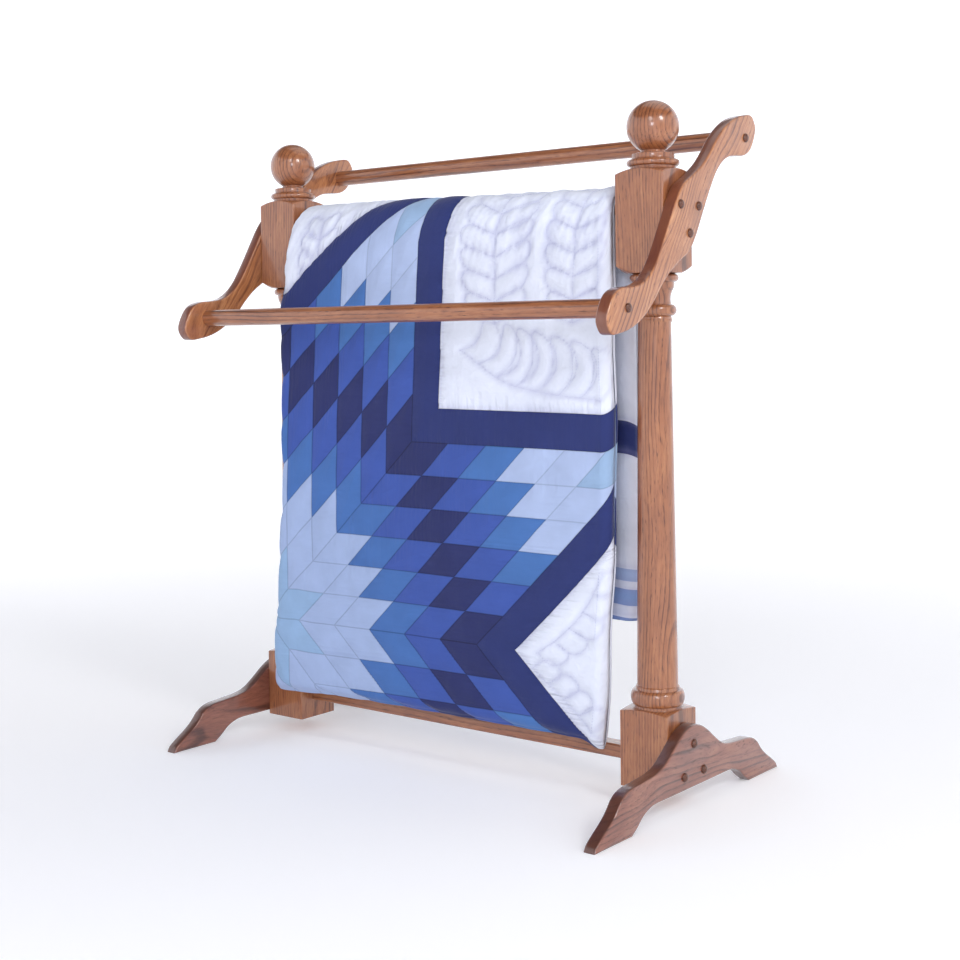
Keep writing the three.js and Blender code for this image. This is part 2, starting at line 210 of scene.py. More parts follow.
def new_geometry_tree(name: str, inputs: dict[str, tuple[str, object]]) -> tuple:
    """Makes a Geometry Nodes tree with a Geometry input and output, the named inputs and a Finish.

    Args:
        name: The tree's name.
        inputs: Each input's socket type and starting value, by its name.

    Returns:
        The tree, its input node and its output node.
    """
    tree = bpy.data.node_groups.new(name, "GeometryNodeTree")
    tree.interface.new_socket("Geometry", in_out="INPUT", socket_type="NodeSocketGeometry")
    tree.interface.new_socket("Geometry", in_out="OUTPUT", socket_type="NodeSocketGeometry")
    for label, (kind, value) in {**inputs, "Finish": ("NodeSocketMaterial", None)}.items():
        socket = tree.interface.new_socket(label, in_out="INPUT", socket_type=kind)
        if value is not None:
            socket.default_value = value
    return tree, add(tree, "NodeGroupInput"), add(tree, "NodeGroupOutput")


def close_tree(
    tree: bpy.types.NodeTree, given: bpy.types.Node, result: bpy.types.Node, shape: bpy.types.Node
) -> None:
    """Ends a Geometry Nodes tree with real geometry in its finish.

    Args:
        tree: The tree.
        given: Its input node.
        result: Its output node.
        shape: The node that makes the shape.
    """
    whole = add(tree, "GeometryNodeRealizeInstances", {0: shape})
    finish = given.outputs["Finish"]
    wire(result, {0: add(tree, "GeometryNodeSetMaterial", {"Geometry": whole, "Material": finish})})


def loop_faces(loops: int, count: int, start: int = 0) -> list[tuple[int, int, int, int]]:
    """The faces between closed loops of points, each loop above the last.

    Args:
        loops: How many loops.
        count: How many points each has.
        start: The first point's number.

    Returns:
        The faces, counter-clockwise from outside.
    """
    starts = [start + i * count for i in range(loops)]
    steps = list(zip(range(count), [*range(1, count), 0]))
    return [(a + k, a + n, b + n, b + k) for a, b in zip(starts, starts[1:]) for k, n in steps]


def dress(
    piece: bpy.types.Object,
    finish: bpy.types.Material,
    nodes: list[str],
    corner: float | None = None,
) -> bpy.types.Object:
    """Smooths a finished piece, gives it its material and body, and hides the CAD nodes that it replaces.

    Args:
        piece: The finished piece, its place in its mesh.
        finish: The material for the whole piece; a piece that already has materials keeps them.
        nodes: The CAD nodes that it replaces.
        corner: The angle in degrees past which an edge stays sharp; without it none does.

    Returns:
        The same piece.
    """
    piece.data.shade_smooth()
    if corner is not None:
        piece.data.set_sharp_from_angle(angle=math.radians(corner))
    if not piece.data.materials:
        piece.data.materials.append(finish)
    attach(piece, "root")
    if nodes:
        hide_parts(*nodes)
    LOG.info("%s: %d faces", piece.name, len(piece.data.polygons))
    return piece


def spline(points: list[tuple[float, float]], step: float, closed: bool = False) -> Points:
    """Runs a smooth Catmull-Rom curve through points.

    Args:
        points: The points that it passes through.
        step: About how far apart the curve's own points are, in millimetres.
        closed: True if it comes back to its start.

    Returns:
        The curve's points; an open curve has both ends, a closed one leaves out the repeat.
    """
    through = np.array(points, float)
    count = len(through)
    wrapped = [through[i % count] for i in range(-1, count + 2)]
    if not closed:
        first, last = 2 * through[0] - through[1], 2 * through[-1] - through[-2]
        wrapped = [first, *through, last]
    rows = []
    for a, b, c, d in zip(wrapped, wrapped[1:], wrapped[2:], wrapped[3:]):
        pieces = max(1, round(float(np.linalg.norm(c - b)) / step))
        for t in np.arange(pieces) / pieces:
            bend = (2 * a - 5 * b + 4 * c - d) * t**2 + (3 * b - a - 3 * c + d) * t**3
            rows.append(0.5 * (2 * b + (c - a) * t + bend))
    if not closed:
        rows.append(through[-1])
    return np.array(rows)


def eased(share: Points) -> Points:
    """Shares held between 0 and 1 and eased at both ends."""
    held = np.clip(share, 0, 1)
    return held**2 * (3 - 2 * held)


# ---- Finishes -----------------------------------------------------------------------------------
class Grain(Enum):
    """The way a board's or blank's fibres run, as the turn that brings them upright."""

    UPRIGHT = (0.0, 0.0, 0.0)
    ALONG_RODS = (0.0, math.radians(-90), 0.0)
    FRONT_TO_BACK = (math.radians(90), 0.0, 0.0)
    ALONG_ARM = (math.radians(32), 0.0, 0.0)


@dataclass(frozen=True)
class StainedOak:
    """Red oak with a medium brown stain under gloss lacquer: open pores hold the stain as dark dashes,
    growth rings show as streaks or arches, and the lacquer gives sharp small highlights."""

    name: str
    grain: Grain
    pith: tuple[float, float] = (95.0, 60.0)  # how far off the heart of the tree lies
    ring_width: float = 5.0  # real rings are 2 to 4 mm; drawn wider so that they show
    wander: float = 8.0  # how far the rings stray from straight
    pore_width: float = 1.0  # real pores are 0.3 mm; drawn wider so that they show
    pore_length: float = 9.0
    pale: str = "#ba7e52"
    middle: str = "#9d603c"
    dark: str = "#5e3220"
    edge: str = "#6a3528"  # end grain and edges drink more stain
    edge_share: float = 0.0

    def material(self) -> bpy.types.Material:
        """Builds the material.

        Returns:
            The material, reading Object coordinates.
        """
        material, tree, shader = new_material(self.name)
        place = add(tree, "ShaderNodeTexCoord").outputs["Object"]
        upright = add(tree, "ShaderNodeMapping", {"Vector": place, "Rotation": self.grain.value})

        slow = add(tree, "ShaderNodeMapping", {"Vector": upright, "Scale": (9.0, 9.0, 3.2)})
        stray = add(tree, "ShaderNodeTexNoise", {"Vector": slow, "Scale": 1.0, "Detail": 2.0})
        middle = {0: stray.outputs["Color"], 1: (0.5, 0.5, 0.5)}
        centred = add(tree, "ShaderNodeVectorMath", middle, operation="SUBTRACT")
        shift = add(
            tree, "ShaderNodeVectorMath", {0: centred, "Scale": 4 * self.wander * MM}, operation="SCALE"
        )
        moved = add(tree, "ShaderNodeVectorMath", {0: upright, 1: shift}, operation="ADD")
        heart = (self.pith[0] * MM, self.pith[1] * MM, 0.0)
        across = add(
            tree, "ShaderNodeMapping", {"Vector": moved, "Location": heart, "Scale": (1.0, 1.0, 0.0)}
        )
        radius = add(tree, "ShaderNodeVectorMath", {0: across}, operation="LENGTH")
        rings = add(tree, "ShaderNodeMath", {0: radius, 1: 1 / (self.ring_width * MM)}, operation="MULTIPLY")
        ring = add(tree, "ShaderNodeMath", {0: rings}, operation="FRACT")
        soft_ring = add(tree, "ShaderNodeValToRGB", {"Fac": ring})
        greys = ((0.0, "#e8e8e8"), (0.09, "#ffffff"), (0.34, "#707070"), (0.75, "#282828"), (0.93, "#505050"))
        paint_ramp(soft_ring, [(at, linear(grey)) for at, grey in (*greys, (1.0, "#e8e8e8"))])

        thin = 1 / (self.pore_width * MM)
        long = 1 / (self.pore_length * MM)
        pore_space = add(tree, "ShaderNodeMapping", {"Vector": moved, "Scale": (thin, thin, long)})
        pore_noise = add(tree, "ShaderNodeTexNoise", {"Vector": pore_space, "Scale": 0.62, "Detail": 2.0})
        pores = add(tree, "ShaderNodeMapRange", {"Value": pore_noise, "From Min": 0.53, "From Max": 0.66})
        early = add(tree, "ShaderNodeMath", {0: soft_ring, 1: 0.75, 2: 0.28}, operation="MULTIPLY_ADD")
        open_pores = add(tree, "ShaderNodeMath", {0: pores, 1: early}, operation="MULTIPLY")

        cloudy = add(tree, "ShaderNodeTexNoise", {"Vector": upright, "Scale": 14.0, "Detail": 3.0})
        patch_space = add(tree, "ShaderNodeMapping", {"Vector": moved, "Scale": (48.0, 48.0, 5.0)})
        patch = add(tree, "ShaderNodeTexNoise", {"Vector": patch_space, "Scale": 1.0, "Detail": 1.0})
        patchy = add(
            tree, "ShaderNodeMapRange", {"Value": patch, "From Min": 0.36, "From Max": 0.64, "To Min": 0.1}
        )
        uneven = add(tree, "ShaderNodeMath", {0: soft_ring, 1: patchy}, operation="MULTIPLY")
        fleck_space = add(tree, "ShaderNodeMapping", {"Vector": moved, "Scale": (260.0, 260.0, 26.0)})
        fleck = add(tree, "ShaderNodeTexNoise", {"Vector": fleck_space, "Scale": 1.0, "Detail": 2.0})
        mottle = add(tree, "ShaderNodeMath", {0: cloudy, 1: 0.55, 2: -0.12}, operation="MULTIPLY_ADD")
        grainy = add(tree, "ShaderNodeMath", {0: fleck, 1: 0.5, 2: mottle}, operation="MULTIPLY_ADD")
        tone = add(tree, "ShaderNodeMath", {0: uneven, 1: 0.5, 2: grainy}, operation="MULTIPLY_ADD")
        wood = add(tree, "ShaderNodeValToRGB", {"Fac": tone})
        paint_ramp(wood, [(0.12, linear(self.pale)), (0.45, linear(self.middle)), (0.95, linear(self.dark))])
        stained = add(tree, "ShaderNodeMix", {0: open_pores, 6: wood, 7: linear(self.dark)}, data_type="RGBA")
        colour = stained
        if self.edge_share > 0:
            facing = add(
                tree, "ShaderNodeSeparateXYZ", {0: add(tree, "ShaderNodeNewGeometry").outputs["Normal"]}
            )
            flat = add(tree, "ShaderNodeMath", {0: facing.outputs["X"]}, operation="ABSOLUTE")
            edge = add(
                tree,
                "ShaderNodeMapRange",
                {"Value": flat, "From Min": 0.25, "From Max": 0.8, "To Min": self.edge_share, "To Max": 0.0},
            )
            colour = add(tree, "ShaderNodeMix", {0: edge, 6: colour, 7: linear(self.edge)}, data_type="RGBA")
        rough = add(tree, "ShaderNodeMapRange", {"Value": open_pores, "To Min": 0.3, "To Max": 0.55})
        hollow = {"Height": open_pores, "Strength": 0.25, "Distance": 0.4 * MM}
        dent = add(tree, "ShaderNodeBump", hollow, invert=True)
        wire(shader, {"Base Color": colour, "Roughness": rough, "Normal": dent, "IOR": 1.5})
        wire(shader, {"Coat Weight": 0.9, "Coat Roughness": 0.12})
        return material


@dataclass(frozen=True)
class PlugOak:
    """Oak button plugs, domed and lacquered: end grain, so the stain takes a little darker on them."""

    name: str = "dark_stained_oak_plug"
    dark: str = "#3c2013"
    pale: str = "#7a4630"

    def material(self) -> bpy.types.Material:
        """Builds the material.

        Returns:
            The material, with end-grain pores as small dots.
        """
        material, tree, shader = new_material(self.name)
        place = add(tree, "ShaderNodeTexCoord").outputs["Object"]
        dots = add(tree, "ShaderNodeTexNoise", {"Vector": place, "Scale": 700.0, "Detail": 2.0})
        tone = add(tree, "ShaderNodeValToRGB", {"Fac": dots})
        paint_ramp(tone, [(0.35, linear(self.dark)), (0.7, linear(self.pale))])
        dent = add(tree, "ShaderNodeBump", {"Height": dots, "Strength": 0.1, "Distance": 0.2 * MM})
        wire(shader, {"Base Color": tone, "Normal": dent, "Roughness": 0.35, "IOR": 1.5})
        wire(shader, {"Coat Weight": 0.25, "Coat Roughness": 0.08})
        return material


@dataclass(frozen=True)
class ZincSteel:
    """Zinc-plated steel wood screws, hidden in the joints: bright, slightly clouded metal."""

    name: str = "zinc_plated_steel"
    colour: str = "#b4b7ba"

    def material(self) -> bpy.types.Material:
        """Builds the material.

        Returns:
            The material, its roughness clouded by the plating.
        """
        material, tree, shader = new_material(self.name)
        place = add(tree, "ShaderNodeTexCoord").outputs["Object"]
        cloud = add(tree, "ShaderNodeTexNoise", {"Vector": place, "Scale": 400.0, "Detail": 2.0})
        rough = add(tree, "ShaderNodeMapRange", {"Value": cloud, "To Min": 0.2, "To Max": 0.45})
        wire(shader, {"Base Color": linear(self.colour), "Roughness": rough, "Metallic": 1.0})
        return material


# ---- Posts --------------------------------------------------------------------------------------
@dataclass
class Post:
    """A turned post: the lathe's profile wherever it lies inside the square blank."""

    side: str
    blank: float = 76.0
    bottom_block: float = 104.0
    lower_turning: float = 34.0
    shaft: float = 497.9
    upper_turning: float = 77.4
    top_block: float = 124.0
    collar: float = 33.0
    ball_radius: float = 36.0
    neck_radius: float = 16.5
    eased: float = 1.6  # how far sanding softens the edges between block and turning
    floor: float = field(init=False)
    centre: float = field(init=False)

    def __post_init__(self) -> None:
        """Takes the post's place from its CAD node."""
        low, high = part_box(f"post_{self.side}")
        self.floor = low.z / MM
        self.centre = (low.x + high.x) / 2 / MM

    def depth(self, cut: float) -> float:
        """A radius as a depth of cut below the blank's face."""
        return self.blank / 2 - cut

    def bead(self, bottom: float, top: float, base: float, crest: float) -> list[tuple[float, float]]:
        """A half-round bead.

        Args:
            bottom: The height where it starts.
            top: The height where it ends.
            base: The depth of cut at both ends.
            crest: The depth of cut at its fullest.

        Returns:
            Pairs of radius and height.
        """
        turns = [math.pi * i / 12 for i in range(13)]
        middle, half = (bottom + top) / 2, (top - bottom) / 2
        return [(self.depth(base + (crest - base) * math.sin(a)), middle - half * math.cos(a)) for a in turns]

    def profile(self) -> Points:
        """The turning from bottom to top.

        Returns:
            Rows of radius and height.
        """
        d = self.depth
        square = self.blank / 2 * math.sqrt(2)
        low = self.floor + self.bottom_block
        foot = low + self.lower_turning
        head = foot + self.shaft
        high = head + self.upper_turning
        crown = high + self.top_block
        neck = math.asin(self.neck_radius / self.ball_radius)
        ball_centre = crown + self.collar + math.sqrt(self.ball_radius**2 - self.neck_radius**2)
        ball_turns = [(math.pi - neck) * (1 - i / 28) for i in range(29)]
        wide = self.ball_radius
        ball = [(wide * math.sin(a), ball_centre + wide * math.cos(a)) for a in ball_turns]
        taper = [(d(9.6), foot), (d(10.2), foot + 0.12 * self.shaft), (d(11.3), foot + 0.3 * self.shaft)]
        taper += [(d(13.2), foot + 0.66 * self.shaft), (d(15.2), head)]
        hollow = [(d(15), head + 25), (d(15.6), head + 31), (d(15.2), head + 37), (d(13.4), high - 34)]
        cove = spline(hollow, 2)
        swell = spline([(d(13.4), high - 34), (d(11.3), high - 30), (d(10.3), high - 24)], 1.5)
        rows = [
            (0, self.floor), (square + 2, self.floor), (square + 2, low - 0.4), (square, low),
            (d(0), low + 3.5), (d(5.5), low + 4), (d(5.9), low + 7),
            *self.bead(low + 7.3, low + 28, 5.5, 0.8),
            (d(7.4), low + 28.6), (d(7.8), low + 29.4), (d(7.8), low + 32), (d(8.6), low + 33.2), *taper,
            (d(14), head + 2), (d(13.6), head + 4), (d(14), head + 6), (d(14.8), head + 8.6),
            *self.bead(head + 9, head + 25, 15, 7.7), *cove[1:], *swell[1:], (d(10.6), high - 22.6),
            *self.bead(high - 22, high - 11, 10.6, 4.7),
            (d(4), high - 10.4), (d(0), high - 10), (d(-7), high - 6), (square, high),
            (square + 2, high + 2), (square + 2, crown - 2), (square, crown), (d(-7), crown + 4),
            (d(0), crown + 6.5), (d(7), crown + 7.5), (d(6.5), crown + 10.3),
            *self.bead(crown + 10.8, crown + 20.5, 6.5, 1.9), (d(8.4), crown + 21.2), (d(9), crown + 22.4),
            (d(8.6), crown + 25), (d(9), crown + 28), (d(13), crown + 29),
            (self.neck_radius + 1, crown + 30), *ball,
        ]
        return self.refined(np.array(rows, float))

    def refined(self, rows: Points) -> Points:
        """Splits a profile's long steps: finely at the blocks' shoulders, sparsely elsewhere.

        Args:
            rows: Rows of radius and height.

        Returns:
            The same profile with more rows.
        """
        out = [rows[0]]
        for a, b in zip(rows, rows[1:]):
            inner, outer = sorted((a[0], b[0]))
            shoulder = outer > self.blank / 2 - 2 and outer - inner > 0.5 and inner > 20
            longest = 0.8 if shoulder else 24.0
            count = max(1, math.ceil(float(np.linalg.norm(b - a)) / longest))
            out += [a + (b - a) * (i + 1) / count for i in range(count)]
        return np.array(out)

    def build(self, finish: bpy.types.Material) -> bpy.types.Object:
        """Builds the post.

        Args:
            finish: Its wood.

        Returns:
            The dressed piece.
        """
        eighth = [0, 6, 12, 18, 24, 30, 35, 39, 42, 43.6, 44.5]
        quarter = [*eighth, 45, *[90 - a for a in reversed(eighth[1:])]]
        turns = np.radians([90 * q + a for q in range(4) for a in quarter])
        profile = self.profile()
        reach = (np.abs(np.cos(turns)) ** 60 + np.abs(np.sin(turns)) ** 60) ** (-1 / 60) * self.blank / 2
        radius, flat = np.meshgrid(profile[:, 0], reach, indexing="ij")
        mix = np.clip(0.5 + (flat - radius) / (2 * self.eased), 0, 1)
        cut = flat * (1 - mix) + radius * mix - self.eased * mix * (1 - mix)
        cut = np.where(radius < 1e-6, 0, cut)
        x = self.centre + cut * np.cos(turns)
        y = cut * np.sin(turns)
        z = np.repeat(profile[:, 1:2], len(turns), axis=1)
        rings = np.stack([x, y, z], axis=-1)[1:-1]
        count = len(turns)
        vertices = [*rings.reshape(-1, 3), (self.centre, 0, profile[0, 1]), (self.centre, 0, profile[-1, 1])]
        faces = loop_faces(len(rings), count)
        last = (len(rings) - 1) * count
        bottom, top = len(vertices) - 2, len(vertices) - 1
        faces += [(bottom, (k + 1) % count, k) for k in range(count)]
        faces += [(top, last + k, last + (k + 1) % count) for k in range(count)]
        piece = new_object(f"post_{self.side}_turned", vertices, faces)
        return dress(piece, finish, [f"post_{self.side}"], 38)


# ---- Arms and feet ------------------------------------------------------------------------------
@dataclass
class Board:
    """A sawn board with rounded edges on the outer side of a post: an arm or a foot."""

    name: str
    node: str
    rounding: float = 3.0
    loops: int = 5

    def outline(self) -> Points:
        """The board's outline, counter-clockwise in (Y, Z) seen from +X.

        Returns:
            Rows of Y and Z.
        """
        raise NotImplementedError

    def build(self, finish: bpy.types.Material) -> bpy.types.Object:
        """Builds the board between its CAD node's two faces.

        Args:
            finish: Its wood.

        Returns:
            The dressed piece.
        """
        low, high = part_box(self.node)
        start, end = low.x / MM, high.x / MM
        edge = self.outline()
        before, after = np.roll(edge, 1, axis=0), np.roll(edge, -1, axis=0)
        along = [(edge - before), (after - edge)]
        normals = [np.stack([s[:, 1], -s[:, 0]], axis=1) / np.linalg.norm(s, axis=1)[:, None] for s in along]
        outward = normals[0] + normals[1]
        outward /= np.linalg.norm(outward, axis=1)[:, None]
        turns = [math.pi / 2 * i / self.loops for i in range(self.loops + 1)]
        near = [(start + self.rounding * (1 - math.sin(a)), self.rounding * (1 - math.cos(a))) for a in turns]
        levels = [*reversed(near), *[(start + end - x, inset) for x, inset in near]]
        rings = [np.column_stack([np.full(len(edge), x), edge - outward * inset]) for x, inset in levels]
        count = len(edge)
        caps = [tuple(reversed(range(count))), tuple(range((len(rings) - 1) * count, len(rings) * count))]
        faces = [caps[0], *loop_faces(len(rings), count), caps[1]]
        piece = new_object(self.name, np.concatenate(rings), faces)
        return dress(piece, finish, [self.node], 32)


@dataclass
class Arm(Board):
    """An S-shaped arm: half of the outline, and the same half turned half a circle."""

    half: tuple = (
        (-191, -146), (-181, -155), (-160, -153), (-139, -148), (-118, -139), (-98, -126), (-80, -110),
        (-64, -93), (-45, -76), (-18, -59), (7, -45), (24, -25), (39, 0), (53, 24), (66, 45), (80, 65),
        (96, 80), (115, 90), (138, 94), (160, 96), (177, 104), (188, 119), (194, 135),
    )

    def outline(self) -> Points:
        """The arm's outline about its CAD node's middle."""
        low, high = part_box(self.node)
        centre = np.array([(low.y + high.y) / 2 / MM, (low.z + high.z) / 2 / MM])
        half = np.array(self.half, float)
        return spline([*(centre + half), *(centre - half)], 3.5, closed=True)


@dataclass
class Foot(Board):
    """An arched foot with a flat pad at each end, the same before and behind the post."""

    under: tuple = ((0, 28), (60, 28), (96, 28), (112, 25.5), (128, 19), (141, 9), (155, 0))
    toe: tuple = ((240, 0), (236, 8), (222, 18), (206, 28), (193, 38), (181, 51))
    peak: tuple = (
        (181, 51), (170, 58), (155, 62), (128, 64), (97, 67), (77, 73), (58, 85), (40, 98), (23, 107.5),
        (8, 112), (0, 112.6),
    )

    def outline(self) -> Points:
        """The foot's outline: arch, pad, toe and rise, then their mirror image."""
        pad = np.array([[240 - 17 * i, 0.0] for i in range(1, 5)])[::-1]
        strokes = [spline(self.under, 4), pad, spline(self.toe, 4)[:-1], spline(self.peak, 4)[:-1]]
        back = np.concatenate(strokes)
        peak = np.array([self.peak[-1]], float)
        front = back[1:][::-1] * (-1, 1)
        return np.concatenate([back, peak, front])


# ---- Rods ---------------------------------------------------------------------------------------
@dataclass
class Rods:
    """The round dowels: two between the arms and the rail that carries the quilt."""

    names: tuple[str, ...] = ("front_rod", "back_rod", "quilt_rail")
    sides: int = 56

    def tree(self) -> bpy.types.NodeTree:
        """Builds the tree that draws a dowel between two points.

        Returns:
            The Geometry Nodes tree.
        """
        kinds = {
            "Start": ("NodeSocketVector", None),
            "End": ("NodeSocketVector", None),
            "Radius": ("NodeSocketFloat", 0.0127),
            "Sides": ("NodeSocketInt", self.sides),
        }
        tree, given, result = new_geometry_tree("dowel", kinds)
        ends = {end: given.outputs[end] for end in ("Start", "End")}
        line = add(tree, "GeometryNodeCurvePrimitiveLine", ends)
        circle = add(
            tree,
            "GeometryNodeCurvePrimitiveCircle",
            {"Radius": given.outputs["Radius"], "Resolution": given.outputs["Sides"]},
        )
        swept = add(
            tree, "GeometryNodeCurveToMesh", {"Curve": line, "Profile Curve": circle, "Fill Caps": True}
        )
        close_tree(tree, given, result, swept)
        return tree

    def build(self, finish: bpy.types.Material) -> list[bpy.types.Object]:
        """Builds the dowels along their CAD nodes.

        Args:
            finish: Their wood.

        Returns:
            The dressed pieces.
        """
        tree = self.tree()
        pieces = []
        for name in self.names:
            low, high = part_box(name)
            middle = (low + high) / 2
            radius = (high.z - low.z) / 2
            blank = new_object(f"{name}_dowel", np.zeros((1, 3)), [])
            values = {
                "Start": (low.x, middle.y, middle.z),
                "End": (high.x, middle.y, middle.z),
                "Radius": radius,
                "Sides": self.sides,
                "Finish": finish,
            }
            piece = run_tree(blank, tree, values)
            pieces.append(dress(piece, finish, [name], 40))
        return pieces


# ---- Plugs --------------------------------------------------------------------------------------
@dataclass
class Plugs:
    """The domed button plugs that close the screw holes."""

    radius: float = 6.35
    dome: float = 4.0

    def tree(self) -> bpy.types.NodeTree:
        """Builds the tree that sets a button on each point.

        Returns:
            The Geometry Nodes tree.
        """
        kinds = {
            "Radius": ("NodeSocketFloat", self.radius * MM),
            "Dome": ("NodeSocketFloat", self.dome * MM),
        }
        tree, given, result = new_geometry_tree("button_plugs", kinds)
        ball = add(tree, "GeometryNodeMeshUVSphere", {"Segments": 28, "Rings": 20, "Radius": 1.0})
        size = add(
            tree,
            "ShaderNodeCombineXYZ",
            {"X": given.outputs["Dome"], "Y": given.outputs["Radius"], "Z": given.outputs["Radius"]},
        )
        points = add(tree, "GeometryNodeMeshToPoints", {"Mesh": given.outputs["Geometry"]})
        placed = add(
            tree, "GeometryNodeInstanceOnPoints", {"Points": points, "Instance": ball, "Scale": size}
        )
        close_tree(tree, given, result, placed)
        return tree

    def build(self, finish: bpy.types.Material) -> bpy.types.Object:
        """Builds all the plugs on the boards' outer faces.

        Args:
            finish: Their wood.

        Returns:
            The dressed piece.
        """
        nodes = [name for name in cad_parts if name.endswith("_plug")]
        places = []
        for node in nodes:
            low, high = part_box(node)
            middle = (low + high) / 2
            outer = high.x - self.dome * MM if middle.x > 0 else low.x + self.dome * MM
            places.append((outer / MM, middle.y / MM, middle.z / MM))
        marks = new_object("button_plugs", np.array(places), [])
        values = {"Radius": self.radius * MM, "Dome": self.dome * MM, "Finish": finish}
        piece = run_tree(marks, self.tree(), values)
        return dress(piece, finish, nodes)


# ---- Quilt: the pattern -------------------------------------------------------------------------
@dataclass(frozen=True)
class StarPattern:
    """A star of diamonds, its arms six by six, in a navy band on white. Flat places are (u, w) in
    millimetres from the star's middle: u to the right and w up the front and over the rail."""

    diamond: float = 68.8
    size: int = 6
    block: float = 754.0  # half of the star's square
    rings: tuple[str, ...] = (
        "#8dabcf", "#9dafd4", "#9dafd4", "#446cac", "#3c55a2", "#272e61", "#3c55a2", "#4670af", "#a9b9db",
        "#a9b9db", "#93aecf",
    )
    band: str = "#27326a"
    white: str = "#dfe4f2"
    borders: tuple[tuple[float, str], ...] = (
        (0.0, "#dfe4f2"), (1042.0, "#27326a"), (1085.0, "#dfe4f2"), (1240.0, "#a3b7dc"), (1255.0, "#dfe4f2"),
        (1268.0, "#86a0d0"), (1289.0, "#dfe4f2"), (1302.0, "#7f97cb"), (1330.0, "#dfe4f2"),
    )
    full_length: float = 1400.0  # what the borders' places are measured against in the ramp

    @property
    def row(self) -> float:
        """The distance across a row of diamonds."""
        return self.diamond / math.sqrt(2)

    def lattice(self, u: Points, w: Points) -> tuple[Points, Points]:
        """The two lattice numbers of flat places: how many rows out from each side of an arm.

        Args:
            u: Places across.
            w: Places along.

        Returns:
            The numbers along and across the arm.
        """
        p = np.maximum(np.abs(u), np.abs(w))
        r = np.minimum(np.abs(u), np.abs(w))
        return (p - r) / self.diamond, r / self.row

    def to_seam(self, u: Points, w: Points) -> Points:
        """How far flat places lie from the nearest seam between patches.

        Args:
            u: Places across.
            w: Places along.

        Returns:
            Distances in millimetres.
        """
        i, j = self.lattice(u, w)
        outer = np.maximum(i, j)
        near = np.minimum(np.abs(i - np.round(i)), np.abs(j - np.round(j)))
        edge = np.abs(outer - np.clip(np.round(outer), self.size, self.size + 1))
        gap = np.where(outer < self.size, near, edge) * self.row
        beyond = np.min([np.abs(w - place) for place, _ in self.borders[1:]], axis=0)
        return np.where(w > self.block, beyond, gap)

    def in_white(self, u: Points, w: Points) -> Points:
        """True for flat places on the white ground."""
        i, j = self.lattice(u, w)
        return (np.maximum(i, j) > self.size + 1) | (w > self.block)


